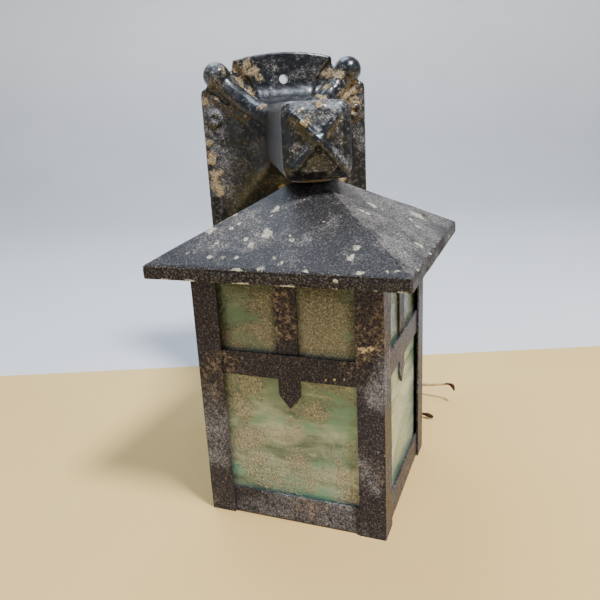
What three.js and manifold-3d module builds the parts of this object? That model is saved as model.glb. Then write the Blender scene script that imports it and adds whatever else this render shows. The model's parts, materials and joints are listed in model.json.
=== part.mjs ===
// Outdoor wall lantern: a hollow cast bracket carries a square sheet-metal lantern
// with a pyramid roof and slag-glass panes. The lantern turns about the threaded
// nipple that hangs from the end of the arm.
//
// Millimetres, +Z up. The origin is the middle of the wall plate's back, which lies
// in the plane y = 0. +Y points into the wall, and the arm reaches out along -Y.
// Heights inside the lantern are measured from the feet of its corner posts.

import * as THREE from "three";
import { mergeVertices } from "three/addons/utils/BufferGeometryUtils.js";
import Module from "manifold-3d";

const wasm = await Module();
wasm.setup();

// ---- Driving dimensions -------------------------------------------------------

const GAP = 0.3; // between pieces that touch on the real lantern
const ROUND = 20; // sides of a round piece

// Wall plate and arm of the casting
const PLATE_W = 133;
const PLATE_H = 210;
const PLATE_D = 10.4;
const CAST_T = 3.2; // wall of the casting
const ARM_W = 39.2;
const ARM_BOTTOM = 52;
const ARM_TOP = 95;
const ARM_CHAMFER = 6;
const ARM_OVERHANG = 26.4; // arm end beyond the lantern's centre line
const CAP_RISE = 3.4; // bevel round the arm's end face
const CAP_INSET = 4.9;
const PYRAMID_RISE = 3;
const BUMP_R = 3.4;
const SIDE_COVE = 38; // radii of the hollow curves that join arm and plate
const TOP_COVE = 17;
const UNDER_COVE = 52;
const CREST_HALF = 39.5; // keystone crest above the plate
const CREST_CORNER_Z = 129;
const CREST_TOP_Z = 134;
const CREST_PROUD = 3.2;
const BALL_X = 53;
const BALL_Z = 118;
const BALL_R = 9.5;
const SCREW_HOLE_Z = 113.5;
const LOWER_HOLE_Z = -88;
const SCREW_HOLE_R = 3.5;
const SCREW_BOSS_R = 7.5;
const KNOB_X = 57;
const KNOB_Z = 86;
const KNOB_R = 6.2;
const KNOB_PROUD = 3;
const DIMPLE_R = 3.4;

// Lantern
const AXIS_Y = -160; // centre line of the nipple and the lantern
const FEET_Z = -154; // feet of the corner posts
const TWIST = THREE.MathUtils.degToRad(-27.5); // how far the lantern stands turned
const BODY_HALF = 57.15;
const SHEET = 1.0;
const POST_W = 15.9;
const POST_TOP = 173.5;
const RAIL_HALF = 53.7;
const BOTTOM_RAIL = [1, 18];
const MID_RAIL = [96, 111];
const TOP_RAIL = [153, 168];
const SILL_DEPTH = 6; // flange of the bottom rail that carries the pane
const STRIP_HALF = 6.6;
const STRIP_SHOULDER = 85;
const STRIP_TIP = 76.8;
const PANE_HALF = 47;
const PANE_T = 3;
const PANE_TOP = 158;
const RETAINER = [14, 144]; // height of the angles that hold the panes
const EAVE_HALF = 76;
const EAVE_Z = 158;
const FASCIA_H = 7.4;
const ROOF_TOP_Z = 202.6;
const ROOF_TOP_HALF = 11;
const ROOF_T = 1.2;

// Nipple, nuts and lampholder, on the lantern's centre line
const NIPPLE_R = 5.1;
const NIPPLE_BORE = 3.7;
const NIPPLE = [149.5, 223];
const HOLE_R = 5.6;
const HEX_ACROSS = 16;
const NUT_H = 5;
const BAR_HALF = 10; // crossbar under the roof
const BAR_Z = [166.5, 168.5];
const EAR_T = 1.6;
const RIVET_R = 1.5;
const RIVET_X = 6;
const RIVET_Z = 162.6;

// Lamp
const LAMP_R = 23.5;
const LAMP_BOTTOM = 44;
const LAMP_CAP_R = 12.7;
const LAMP_T = 1;

// Lead wires
const LEAD_R = 1.3;
const LEAD_X = 1.75;
const STRAND_R = 0.95; // bare twisted end

// ---- Colours ------------------------------------------------------------------

function finish(color, roughness, metalness) {
  return () => new THREE.MeshStandardMaterial({ color, roughness, metalness });
}
const castIron = finish(0x1d1f24, 0.35, 0.6);
const roofSteel = finish(0x3b4049, 0.6, 0.5);
const frameSteel = finish(0x4a403a, 0.75, 0.5);
const plainSteel = finish(0x6d6a66, 0.5, 0.9);
const slagGlass = finish(0x9fb59a, 0.25, 0);
const brass = finish(0x8d7440, 0.4, 0.9);
const porcelain = finish(0xe6e0d2, 0.3, 0);
const lampGlass = finish(0xeeeae0, 0.2, 0);
const leadCover = finish(0xcbbb93, 0.7, 0);
const copper = finish(0x5a2d18, 0.5, 0.8);

// ---- Solids -------------------------------------------------------------------

function solid(geometry) {
  const bare = geometry.index ? geometry.toNonIndexed() : geometry.clone();
  bare.deleteAttribute("normal");
  bare.deleteAttribute("uv");
  const merged = mergeVertices(bare, 1e-4);
  return new wasm.Manifold(
    new wasm.Mesh({
      numProp: 3,
      vertProperties: new Float32Array(merged.attributes.position.array),
      triVerts: new Uint32Array(merged.index.array),
    }),
  );
}

function geometryOf(body) {
  const mesh = body.getMesh();
  const geometry = new THREE.BufferGeometry();
  geometry.setAttribute("position", new THREE.BufferAttribute(mesh.vertProperties, 3));
  geometry.setIndex(new THREE.BufferAttribute(mesh.triVerts, 1));
  geometry.computeVertexNormals();
  return geometry;
}

// A box between two corners
function boxGeometry(x0, x1, y0, y1, z0, z1) {
  const geometry = new THREE.BoxGeometry(x1 - x0, y1 - y0, z1 - z0);
  return geometry.translate((x0 + x1) / 2, (y0 + y1) / 2, (z0 + z1) / 2);
}

function box(x0, x1, y0, y1, z0, z1) {
  return solid(boxGeometry(x0, x1, y0, y1, z0, z1));
}

// An upright cylinder, or one that lies along Y
function upright(r, z0, z1, x = 0, y = 0, sides = ROUND) {
  const geometry = new THREE.CylinderGeometry(r, r, z1 - z0, sides);
  return solid(geometry.rotateX(Math.PI / 2).translate(x, y, (z0 + z1) / 2));
}

function alongY(r, y0, y1, x, z, sides = ROUND) {
  const geometry = new THREE.CylinderGeometry(r, r, y1 - y0, sides);
  return solid(geometry.translate(x, (y0 + y1) / 2, z));
}

// A flat outline in x and z, given a thickness from y0 to y1
function slab(shape, y0, y1, curveSegments = 8) {
  const geometry = new THREE.ExtrudeGeometry(shape, {
    depth: y1 - y0,
    bevelEnabled: false,
    curveSegments,
  });
  return solid(geometry.rotateX(Math.PI / 2).translate(0, y1, 0));
}

// A turned piece about the Z axis from [radius, height] pairs, in either direction
function turned(profile, sides = ROUND) {
  const points = profile.map(([r, z]) => new THREE.Vector2(r, z));
  if (THREE.ShapeUtils.area(points) < 0) points.reverse();
  return new THREE.LatheGeometry(points, sides).rotateX(Math.PI / 2);
}

// A ring with a square section
function ring(rIn, rOut, z0, z1, sides = ROUND) {
  const loop = [[rIn, z0], [rOut, z0], [rOut, z1], [rIn, z1], [rIn, z0]];
  return turned(loop, sides);
}

// A closed skin through a row of outlines, each a list of [x, y, z] points
function loft(outlines) {
  const count = outlines[0].length;
  const positions = outlines.flat(2);
  const index = [];
  for (let i = 0; i + 1 < outlines.length; i += 1) {
    for (let j = 0; j < count; j += 1) {
      const k = (j + 1) % count;
      const a = i * count + j;
      const b = i * count + k;
      index.push(a, b, b + count, a, b + count, a + count);
    }
  }
  const last = (outlines.length - 1) * count;
  for (let j = 1; j + 1 < count; j += 1) {
    index.push(0, j + 1, j, last, last + j, last + j + 1);
  }
  const geometry = new THREE.BufferGeometry();
  geometry.setAttribute("position", new THREE.Float32BufferAttribute(positions, 3));
  geometry.setIndex(index);
  const volume = solid(geometry);
  if (volume.volume() > 0) return volume;
  geometry.setIndex(index.reverse());
  return solid(geometry);
}

// A round bar along a curve, its radius given at each step
function taperedBar(curve, radiusAt, steps, sides) {
  const frames = curve.computeFrenetFrames(steps, false);
  const outlines = [];
  for (let i = 0; i <= steps; i += 1) {
    const centre = curve.getPointAt(i / steps);
    const r = radiusAt(i / steps);
    const outline = [];
    for (let j = 0; j < sides; j += 1) {
      const angle = (2 * Math.PI * j) / sides;
      const point = centre.clone();
      point.addScaledVector(frames.normals[i], r * Math.cos(angle));
      point.addScaledVector(frames.binormals[i], r * Math.sin(angle));
      outline.push(point.toArray());
    }
    outlines.push(outline);
  }
  return loft(outlines);
}

// A wire along hand-placed points
function wire(points, radius, steps, sides = 8) {
  const curve = new THREE.CatmullRomCurve3(
    points.map((p) => new THREE.Vector3(...p)),
    false,
    "centripetal",
  );
  const section = new THREE.Shape();
  for (let j = 0; j <= sides; j += 1) {
    const angle = (2 * Math.PI * j) / sides;
    const place = [radius * Math.cos(angle), radius * Math.sin(angle)];
    if (j === 0) section.moveTo(...place);
    else if (j < sides) section.lineTo(...place);
    else section.closePath();
  }
  return new THREE.ExtrudeGeometry(section, {
    steps,
    extrudePath: curve,
    bevelEnabled: false,
  });
}

function add(group, name, shape, material) {
  const geometry = shape.isBufferGeometry ? shape : geometryOf(shape);
  const mesh = new THREE.Mesh(geometry, material());
  mesh.name = name;
  group.add(mesh);
  return mesh;
}

// ---- Casting: wall plate, crest, scrolls, arm and cap in one piece ------------

// How far a hollow curve of the given radius still stands out, at a depth from the plate
function coveReach(radius, depth) {
  if (depth >= radius) return 0;
  return radius - Math.sqrt(radius * radius - (radius - depth) * (radius - depth));
}

// Eight-cornered outline of the arm in the plane y, drawn in by inset on every side
function armOutline(y, side, top, bottom, inset) {
  const x = ARM_W / 2 + side - inset;
  const z1 = ARM_TOP + top - inset;
  const z0 = ARM_BOTTOM - bottom + inset;
  const c = Math.max(0.5, ARM_CHAMFER - inset * 0.6);
  return [
    [x - c, y, z0], [x, y, z0 + c], [x, y, z1 - c], [x - c, y, z1],
    [c - x, y, z1], [-x, y, z1 - c], [-x, y, z0 + c], [c - x, y, z0],
  ];
}

function armLoft(frontY, backY, inset) {
  const outlines = [armOutline(frontY, 0, 0, 0, inset)];
  const steps = 9;
  for (let i = 0; i <= steps; i += 1) {
    const depth = UNDER_COVE * (1 - i / steps) ** 2;
    const side = coveReach(SIDE_COVE, depth);
    const top = coveReach(TOP_COVE, depth);
    const bottom = coveReach(UNDER_COVE, depth);
    outlines.push(armOutline(-PLATE_D - depth + inset, side, top, bottom, inset));
  }
  outlines.push(armOutline(backY, SIDE_COVE, TOP_COVE, UNDER_COVE, inset));
  return loft(outlines);
}

// Outline of plate, crest and the lobes behind the balls, drawn in by inset
function plateShape(inset) {
  const w = PLATE_W / 2 - inset;
  const h = PLATE_H / 2;
  const r = BALL_R - inset;
  const crest = CREST_HALF - inset;
  const notchZ = BALL_Z + 2 - inset;
  const shape = new THREE.Shape();
  shape.moveTo(-w, -h + inset);
  shape.lineTo(w, -h + inset);
  shape.lineTo(w, h - inset);
  shape.absarc(BALL_X, BALL_Z, r, -Math.PI / 4, Math.PI * 0.9, false);
  shape.lineTo(crest + 0.6, notchZ);
  shape.lineTo(crest, CREST_CORNER_Z - inset);
  shape.quadraticCurveTo(0, 2 * CREST_TOP_Z - CREST_CORNER_Z - inset, -crest, CREST_CORNER_Z - inset);
  shape.lineTo(-crest - 0.6, notchZ);
  shape.absarc(-BALL_X, BALL_Z, r, Math.PI * 0.1, Math.PI * 1.25, false);
  shape.lineTo(-w, h - inset);
  shape.closePath();
  return shape;
}

// The raised keystone between the scrolls
function crestSlab() {
  const foot = ARM_TOP + 8;
  const footHalf = ARM_W / 2 + 1;
  const shape = new THREE.Shape();
  shape.moveTo(-footHalf, foot);
  shape.lineTo(footHalf, foot);
  shape.quadraticCurveTo(footHalf + 4, foot + 9, CREST_HALF, CREST_CORNER_Z);
  shape.quadraticCurveTo(0, 2 * CREST_TOP_Z - CREST_CORNER_Z, -CREST_HALF, CREST_CORNER_Z);
  shape.quadraticCurveTo(-footHalf - 4, foot + 9, -footHalf, foot);
  const front = -PLATE_D - CREST_PROUD;
  const cove = TOP_COVE - CREST_PROUD;
  const groove = alongX(cove, -30, 30, front - cove, ARM_TOP + TOP_COVE);
  return slab(shape, front, -1).subtract(groove);
}

function alongX(r, x0, x1, y, z, sides = 24) {
  const geometry = new THREE.CylinderGeometry(r, r, x1 - x0, sides);
  return solid(geometry.rotateZ(Math.PI / 2).translate((x0 + x1) / 2, y, z));
}

// Rolled moulding from a ball at the plate's top corner down to the arm's top edge
function scroll(side) {
  const path = new THREE.CatmullRomCurve3([
    new THREE.Vector3(side * BALL_X, -9.5, BALL_Z),
    new THREE.Vector3(side * 41, -14, 105),
    new THREE.Vector3(side * 28, -24, 94),
    new THREE.Vector3(side * 17, -44, 87),
    new THREE.Vector3(side * 12.5, -66, 85.5),
  ]);
  const roll = taperedBar(path, (t) => 7.2 + 0.6 * Math.sin(Math.PI * t), 9, 12);
  const ball = new THREE.SphereGeometry(BALL_R, 14, 9).translate(side * BALL_X, -10, BALL_Z);
  return roll.add(solid(ball));
}

// Raised panel, low pyramid, crossed ribs and middle bump on the arm's end
function armCap() {
  const y = AXIS_Y - ARM_OVERHANG;
  const rim = y - CAP_RISE;
  const top = rim - PYRAMID_RISE;
  const base = armOutline(y + 0.01, 0, 0, 0, 0);
  const face = armOutline(rim, 0, 0, 0, CAP_INSET);
  let cap = loft([face, base]);
  const mid = (ARM_TOP + ARM_BOTTOM) / 2;
  const half = ARM_W / 2 - CAP_INSET;
  const tall = (ARM_TOP - ARM_BOTTOM) / 2 - CAP_INSET;
  const corner = (s, at, k) => [s[0] * half * k, at, mid + s[1] * tall * k];
  const square = [[-1, -1], [1, -1], [1, 1], [-1, 1]];
  const pyramid = loft([
    square.map((s) => corner(s, top, 0.06)),
    square.map((s) => corner(s, rim + 0.5, 0.97)),
  ]);
  cap = cap.add(pyramid);
  const ribEnd = 0.92;
  for (const [lean, width] of [[1, 1.7], [-1, 1.0]]) {
    const drop = lean * tall * ribEnd;
    const from = new THREE.Vector3(-half * ribEnd, rim + 0.2, mid + drop);
    const middle = new THREE.Vector3(0, top, mid);
    const to = new THREE.Vector3(half * ribEnd, rim + 0.2, mid - drop);
    const ribHalf = (a, b) => taperedBar(new THREE.LineCurve3(a, b), () => width, 1, 6);
    cap = cap.add(ribHalf(from, middle)).add(ribHalf(to, middle));
  }
  const bump = new THREE.SphereGeometry(BUMP_R, 8, 5).translate(0, top + 0.8, mid);
  return cap.add(solid(bump));
}

function wallBracket() {
  const front = AXIS_Y - ARM_OVERHANG;
  let outer = slab(plateShape(0), -PLATE_D, 0);
  outer = outer.add(armLoft(front, -1, 0)).add(crestSlab()).add(armCap());
  for (const side of [-1, 1]) {
    outer = outer.add(scroll(side));
    outer = outer.add(alongY(KNOB_R, -PLATE_D - KNOB_PROUD, -2, side * KNOB_X, KNOB_Z, 14));
  }
  const cavity = slab(plateShape(CAST_T), -PLATE_D + CAST_T, 1);
  const bore = armLoft(front + CAST_T + 1, 1, CAST_T);
  let casting = outer.subtract(cavity).subtract(bore);
  for (const z of [SCREW_HOLE_Z, LOWER_HOLE_Z]) {
    casting = casting.add(alongY(SCREW_BOSS_R, -PLATE_D + 0.5, 0, 0, z, 16));
    casting = casting.subtract(alongY(SCREW_HOLE_R, -40, 2, 0, z, 14));
  }
  for (const side of [-1, 1]) {
    const dimple = new THREE.SphereGeometry(DIMPLE_R, 10, 6);
    dimple.translate(side * KNOB_X, -PLATE_D - KNOB_PROUD - 1.6, KNOB_Z);
    casting = casting.subtract(solid(dimple));
  }
  const nippleHole = upright(HOLE_R, ARM_BOTTOM - 1, ARM_BOTTOM + CAST_T + 4, 0, AXIS_Y, 16);
  return casting.subtract(nippleHole);
}

// ---- Lantern ------------------------------------------------------------------

// Layers of one side, from the posts' faces inwards
const railOut = BODY_HALF - SHEET - GAP;
const railIn = railOut - SHEET;
const stripOut = railIn - GAP;
const stripIn = stripOut - SHEET;
const paneOut = stripIn - GAP;
const paneIn = paneOut - PANE_T;

function cornerPost() {
  const a = BODY_HALF;
  const b = BODY_HALF - SHEET;
  const c = BODY_HALF - POST_W;
  const shape = new THREE.Shape();
  shape.moveTo(-a, -a);
  shape.lineTo(-c, -a);
  shape.lineTo(-c, -b);
  shape.lineTo(-b, -b);
  shape.lineTo(-b, -c);
  shape.lineTo(-a, -c);
  shape.closePath();
  return new THREE.ExtrudeGeometry(shape, { depth: POST_TOP, bevelEnabled: false });
}

function bottomRail() {
  const [z0, z1] = BOTTOM_RAIL;
  const wall = box(-RAIL_HALF, RAIL_HALF, -railOut, -railIn, z0, z1);
  const sill = box(-PANE_HALF, PANE_HALF, -railOut, -railIn + SILL_DEPTH, z0, z0 + SHEET);
  return wall.add(sill);
}

function topRail(riveted) {
  let rail = box(-RAIL_HALF, RAIL_HALF, -railOut, -railIn, ...TOP_RAIL);
  if (!riveted) return rail;
  for (const x of [-RIVET_X, RIVET_X]) {
    rail = rail.subtract(alongY(RIVET_R + GAP, -railOut - 1, -railIn + 1, x, RIVET_Z, 10));
  }
  return rail;
}

// Flat strip that ends in a pointed tab below the middle rail
function centreStrip() {
  const shape = new THREE.Shape();
  shape.moveTo(-STRIP_HALF, PANE_TOP);
  shape.lineTo(-STRIP_HALF, STRIP_SHOULDER);
  shape.lineTo(0, STRIP_TIP);
  shape.lineTo(STRIP_HALF, STRIP_SHOULDER);
  shape.lineTo(STRIP_HALF, PANE_TOP);
  shape.closePath();
  return slab(shape, -stripOut, -stripIn);
}

// Angle soldered inside a corner post, whose legs press two panes against the frame
function cornerRetainer() {
  const leg = 9;
  const t = 0.8;
  const [z0, z1] = RETAINER;
  const outer = paneIn - GAP;
  const angle = box(-outer, -outer + leg, -outer, -outer + t, z0, z1)
    .add(box(-outer, -outer + t, -outer, -outer + leg, z0, z1));
  const reach = (BODY_HALF - SHEET - GAP - outer) * Math.SQRT2;
  const web = boxGeometry(-0.4, 0.4, -reach + 0.4, 0.6, z0 + 1, z1 - 1);
  web.rotateZ(-Math.PI / 4).translate(-outer, -outer, 0);
  return angle.add(solid(web));
}

function crossbar() {
  const reach = stripOut;
  const bar = box(-BAR_HALF, BAR_HALF, -reach, reach, ...BAR_Z);
  let strap = bar;
  for (const side of [-1, 1]) {
    const y0 = side < 0 ? -reach : reach - EAR_T;
    strap = strap.add(box(-BAR_HALF, BAR_HALF, y0, y0 + EAR_T, PANE_TOP + GAP, BAR_Z[1]));
  }
  for (const x of [-RIVET_X, RIVET_X]) {
    strap = strap.subtract(alongY(RIVET_R + GAP, -reach - 1, reach + 1, x, RIVET_Z, 10));
  }
  return strap.subtract(upright(HOLE_R, BAR_Z[0] - 1, BAR_Z[1] + 1, 0, 0, 16));
}

// Rivet through a top rail and the crossbar's ear behind it
function rivet(x) {
  const inside = stripOut - EAR_T - GAP;
  return alongY(RIVET_R, -railOut - 1.2, -inside + 1, x, RIVET_Z, 10)
    .add(alongY(2.6, -railOut - 1.4, -railOut - GAP, x, RIVET_Z, 10))
    .add(alongY(2.4, -inside, -inside + 1.2, x, RIVET_Z, 10));
}

function square(half, z) {
  return [[-half, -half, z], [half, -half, z], [half, half, z], [-half, half, z]];
}

function roofShell() {
  const fasciaTop = EAVE_Z + FASCIA_H;
  const slope = (ROOF_TOP_Z - fasciaTop) / (EAVE_HALF - ROOF_TOP_HALF);
  const drop = ROOF_T * Math.hypot(1, slope);
  const innerHalf = EAVE_HALF - ROOF_T;
  const innerTop = ROOF_TOP_HALF - (drop - ROOF_T) / slope / 2 - 1;
  const innerTopZ = ROOF_TOP_Z - ROOF_T;
  const innerFascia = innerTopZ - slope * (innerHalf - innerTop) - 0.5;
  const outer = loft([
    square(EAVE_HALF, EAVE_Z),
    square(EAVE_HALF, fasciaTop),
    square(ROOF_TOP_HALF, ROOF_TOP_Z),
  ]);
  const inner = loft([
    square(innerHalf, EAVE_Z - 1),
    square(innerHalf, innerFascia),
    square(innerTop, innerTopZ),
  ]);
  const hole = upright(HOLE_R, ROOF_TOP_Z - 4, ROOF_TOP_Z + 1, 0, 0, 16);
  return outer.subtract(inner).subtract(hole);
}

function hexNut(z) {
  const radius = HEX_ACROSS / 2 / Math.cos(Math.PI / 6);
  return upright(radius, z, z + NUT_H, 0, 0, 6)
    .subtract(upright(NIPPLE_R + GAP, z - 1, z + NUT_H + 1, 0, 0, 16));
}

// Brass cap of the lampholder, threaded on the nipple's lower end
function lampholderCap() {
  const bore = NIPPLE_R + GAP;
  return turned([
    [bore, 158.8], [8.4, 158.8], [8.4, 155], [19.6, 152.4], [19.6, 142], [18.4, 142],
    [18.4, 151.4], [7.4, 153.8], [bore, 153.8], [bore, 158.8],
  ]);
}

function lampholderBody() {
  return turned([
    [2.4, 148.6], [17.9, 148.6], [17.9, 140], [16.9, 138], [16.9, 113.5], [15.9, 112],
    [14.7, 112], [14.7, 141], [2.4, 141], [2.4, 148.6],
  ]);
}

function centreContact() {
  const tongue = box(-6, 3.5, -2.2, 2.2, 139.4, 140.2);
  return tongue.add(upright(1.8, 139.6, 149.6, 0, 0, 10));
}

function terminalScrew(x) {
  return upright(2.6, 148.9, 150.7, x, 0, 10);
}

// Blown bulb, open at the end of the neck that sits in the screw cap
function lampGlassBody() {
  const middle = LAMP_BOTTOM + LAMP_R;
  const steps = 9;
  const wall = (t, neck) => {
    const line = [];
    for (let i = 0; i <= steps; i += 1) {
      const angle = -Math.PI / 2 + (i / steps) * Math.PI * 0.75;
      const r = i === 0 ? 0 : (LAMP_R - t) * Math.cos(angle);
      line.push([r, middle + (LAMP_R - t) * Math.sin(angle)]);
    }
    return line.concat(neck.map(([r, z]) => [r - t, z]));
  };
  const neck = [[13.4, 94], [12.2, 102], [11.8, 109.4]];
  return turned(wall(0, neck).concat(wall(LAMP_T, neck).reverse()));
}

// Pressed screw cap, open towards the bulb
function lampCap() {
  return turned([
    [LAMP_CAP_R - 0.6, 109.7], [LAMP_CAP_R, 111], [LAMP_CAP_R, 131], [8, 134.4], [0, 134.4],
    [0, 133.4], [7.6, 133.4], [LAMP_CAP_R - 1, 130.4], [LAMP_CAP_R - 1, 109.7],
    [LAMP_CAP_R - 0.6, 109.7],
  ]);
}

function lampTip() {
  return turned([[0, 134.7], [5.5, 134.7], [4.2, 137], [2.6, 138.6], [0, 138.6]], 14);
}

// ---- Lead wires ---------------------------------------------------------------

// Routes in x, y, z of the whole part. side is -1 for the left lead, 1 for the right.
function heldRoute(side) {
  return [
    [side * LEAD_X, AXIS_Y, FEET_Z + 151.4],
    [side * LEAD_X, AXIS_Y, FEET_Z + 190],
    [side * LEAD_X, AXIS_Y, FEET_Z + 222],
    [side * LEAD_X, AXIS_Y + 3.5, FEET_Z + 230],
    [side * LEAD_X, AXIS_Y + 12, FEET_Z + 233],
    [side * 2.4, -110, 80],
    [side * 3.4, -62, 77],
    [side * 5, -28, 62],
    [side * 5.6, -9, 36],
    [side * 6, -4.6, 8],
    [side * 12, -4.4, -44],
    [side * 13, -3.6, -80],
    [side * 13, -0.6, -93],
  ];
}

const leadEnds = {
  neutral: [
    [13, -0.4, -93.6], [13, 1.6, -102], [13.6, 1.9, -111], [16.5, -1.2, -121],
    [25, -8.5, -130], [40, -20, -137.4], [60, -33, -142.4], [83, -45.5, -144.6],
    [104, -57, -143], [118, -68, -139],
  ],
  line: [
    [-13, -0.4, -93.6], [-13, 1.6, -102], [-12.4, 1.6, -111], [-9, -3, -122],
    [0, -13, -133], [15, -27, -142], [33, -43, -148.4], [53, -61, -151.4],
    [72, -78, -152.2], [88, -92, -151.2],
  ],
};
const tipEnds = {
  neutral: [[118.25, -68.25, -138.9], [121, -71.5, -138], [123, -74.5, -139], [123.6, -76.4, -141.6]],
  line: [[88.3, -92.25, -151.15], [91.5, -95.5, -150.4], [95, -97.6, -151], [98, -98, -152.4]],
};

// ---- Assembly -----------------------------------------------------------------

const part = new THREE.Group();
add(part, "wall_bracket", wallBracket(), castIron);

const centre = new THREE.Group();
centre.position.set(0, AXIS_Y, FEET_Z);
part.add(centre);

const armFloor = ARM_BOTTOM + CAST_T - FEET_Z;
add(centre, "nipple", ring(NIPPLE_BORE, NIPPLE_R, ...NIPPLE), plainSteel);
add(centre, "arm_washer", ring(NIPPLE_R + GAP, 11, armFloor + GAP, armFloor + 1.8), plainSteel);
add(centre, "arm_nut", hexNut(armFloor + 2.1), plainSteel);
const seat = [ROOF_TOP_Z + GAP, ARM_BOTTOM - FEET_Z - GAP];
add(centre, "seat_washer", ring(NIPPLE_R + GAP, 12, ...seat), plainSteel);
add(centre, "clamp_washer", ring(NIPPLE_R + GAP, 10.5, BAR_Z[0] - 1.8, BAR_Z[0] - GAP), plainSteel);
add(centre, "clamp_nut", hexNut(BAR_Z[0] - 2.1 - NUT_H), plainSteel);
add(centre, "lampholder_cap", lampholderCap(), brass);
add(centre, "lampholder_body", lampholderBody(), porcelain);
add(centre, "lampholder_shell", ring(13.3, 14.4, 115, 138), brass);
add(centre, "lampholder_contact", centreContact(), brass);
add(centre, "terminal_screw_line", terminalScrew(-9), brass);
add(centre, "terminal_screw_neutral", terminalScrew(9), brass);
add(centre, "lamp_bulb", lampGlassBody(), lampGlass);
add(centre, "lamp_screw_cap", lampCap(), brass);
add(centre, "lamp_tip", lampTip(), brass);

const lantern = new THREE.Group();
lantern.rotation.z = TWIST;
centre.add(lantern);
add(lantern, "roof_shell", roofShell(), roofSteel);
add(lantern, "crossbar", crossbar(), plainSteel);
const corners = ["front_left", "front_right", "back_right", "back_left"];
["front", "right", "back", "left"].forEach((name, k) => {
  const side = new THREE.Group();
  side.rotation.z = (k * Math.PI) / 2;
  lantern.add(side);
  add(side, `corner_post_${corners[k]}`, cornerPost(), frameSteel);
  add(side, `corner_retainer_${corners[k]}`, cornerRetainer(), plainSteel);
  const riveted = name === "front" || name === "back";
  add(side, `top_rail_${name}`, topRail(riveted), frameSteel);
  if (riveted) {
    add(side, `rivet_${name}_left`, rivet(-RIVET_X), plainSteel);
    add(side, `rivet_${name}_right`, rivet(RIVET_X), plainSteel);
  }
  add(side, `mid_rail_${name}`, box(-RAIL_HALF, RAIL_HALF, -railOut, -railIn, ...MID_RAIL), frameSteel);
  add(side, `bottom_rail_${name}`, bottomRail(), frameSteel);
  add(side, `centre_strip_${name}`, centreStrip(), frameSteel);
  const sill = BOTTOM_RAIL[0] + SHEET + GAP;
  add(side, `pane_${name}`, box(-PANE_HALF, PANE_HALF, -paneOut, -paneIn, sill, PANE_TOP), slagGlass);
});

for (const [name, side] of [["neutral", 1], ["line", -1]]) {
  add(part, `lead_${name}_held`, wire(heldRoute(side), LEAD_R, 70), leadCover);
  add(part, `lead_${name}_free`, wire(leadEnds[name], LEAD_R, 40), leadCover);
  add(part, `lead_${name}_strands`, wire(tipEnds[name], STRAND_R, 8), copper);
}

export default part;
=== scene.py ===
"""Looks of the outdoor wall lantern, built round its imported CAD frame.

Metres, +Z up. The origin is the middle of the wall plate's back, +Y goes into the
wall and the arm reaches out along -Y. Casting outlines are written in millimetres.
"""

import json
import math

import bmesh
import bpy
import numpy as np
from mathutils import Matrix, Vector, noise

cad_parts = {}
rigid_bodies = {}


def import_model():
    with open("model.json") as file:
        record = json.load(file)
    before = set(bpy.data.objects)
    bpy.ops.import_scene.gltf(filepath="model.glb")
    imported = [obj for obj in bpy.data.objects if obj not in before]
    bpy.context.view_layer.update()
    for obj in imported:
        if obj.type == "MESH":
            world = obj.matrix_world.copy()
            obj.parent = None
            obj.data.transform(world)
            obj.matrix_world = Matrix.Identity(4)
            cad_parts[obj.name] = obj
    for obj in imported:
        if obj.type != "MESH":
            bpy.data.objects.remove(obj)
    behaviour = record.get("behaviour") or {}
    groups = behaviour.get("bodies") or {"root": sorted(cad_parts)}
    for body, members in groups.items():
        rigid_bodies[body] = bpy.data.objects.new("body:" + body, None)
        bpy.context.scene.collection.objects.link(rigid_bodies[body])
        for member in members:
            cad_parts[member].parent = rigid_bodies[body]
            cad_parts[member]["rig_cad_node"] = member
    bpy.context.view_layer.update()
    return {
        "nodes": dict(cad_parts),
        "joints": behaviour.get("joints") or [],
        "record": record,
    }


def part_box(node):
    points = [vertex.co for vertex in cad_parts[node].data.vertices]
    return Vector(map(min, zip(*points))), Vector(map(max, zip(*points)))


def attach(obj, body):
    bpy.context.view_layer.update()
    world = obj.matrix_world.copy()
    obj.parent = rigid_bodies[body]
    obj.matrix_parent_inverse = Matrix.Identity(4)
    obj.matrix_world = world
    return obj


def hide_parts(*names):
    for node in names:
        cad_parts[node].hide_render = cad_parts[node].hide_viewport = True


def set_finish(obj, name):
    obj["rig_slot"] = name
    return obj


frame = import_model()

# ---- Places that come from the frame

MM = 0.001
JOINTS = {joint["name"]: joint for joint in frame["joints"]}
AXIS = Vector(JOINTS["lantern_swivel"]["pos_m"])
FLOOR_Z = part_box("corner_post_front_left")[0].z
TWIST = math.radians(-27.5)
PLATE_LOW, PLATE_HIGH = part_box("wall_bracket")
SIDES = ("front", "right", "back", "left")

# Lantern frame: millimetres from the feet of the posts, turned with the cage
TO_ROW = (
    Matrix.Translation((AXIS.x, AXIS.y, FLOOR_Z))
    @ Matrix.Rotation(TWIST, 4, "Z")
    @ Matrix.Scale(MM, 4)
)
# The same, not turned, for what hangs on the nipple
TO_ROW_PLAIN = Matrix.Translation((AXIS.x, AXIS.y, FLOOR_Z)) @ Matrix.Scale(MM, 4)
TO_ROW_WALL = Matrix.Scale(MM, 4)

# ---- Camera

CAMERA_PLACE = Vector((-0.0508, -0.5432, 0.0922))
CAMERA_YAW = math.radians(-5.89)
CAMERA_PITCH = math.radians(-17.03)
CAMERA_ROLL = math.radians(-2.99)
CAMERA_LENS = 37.9
SENSOR = 36


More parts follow.
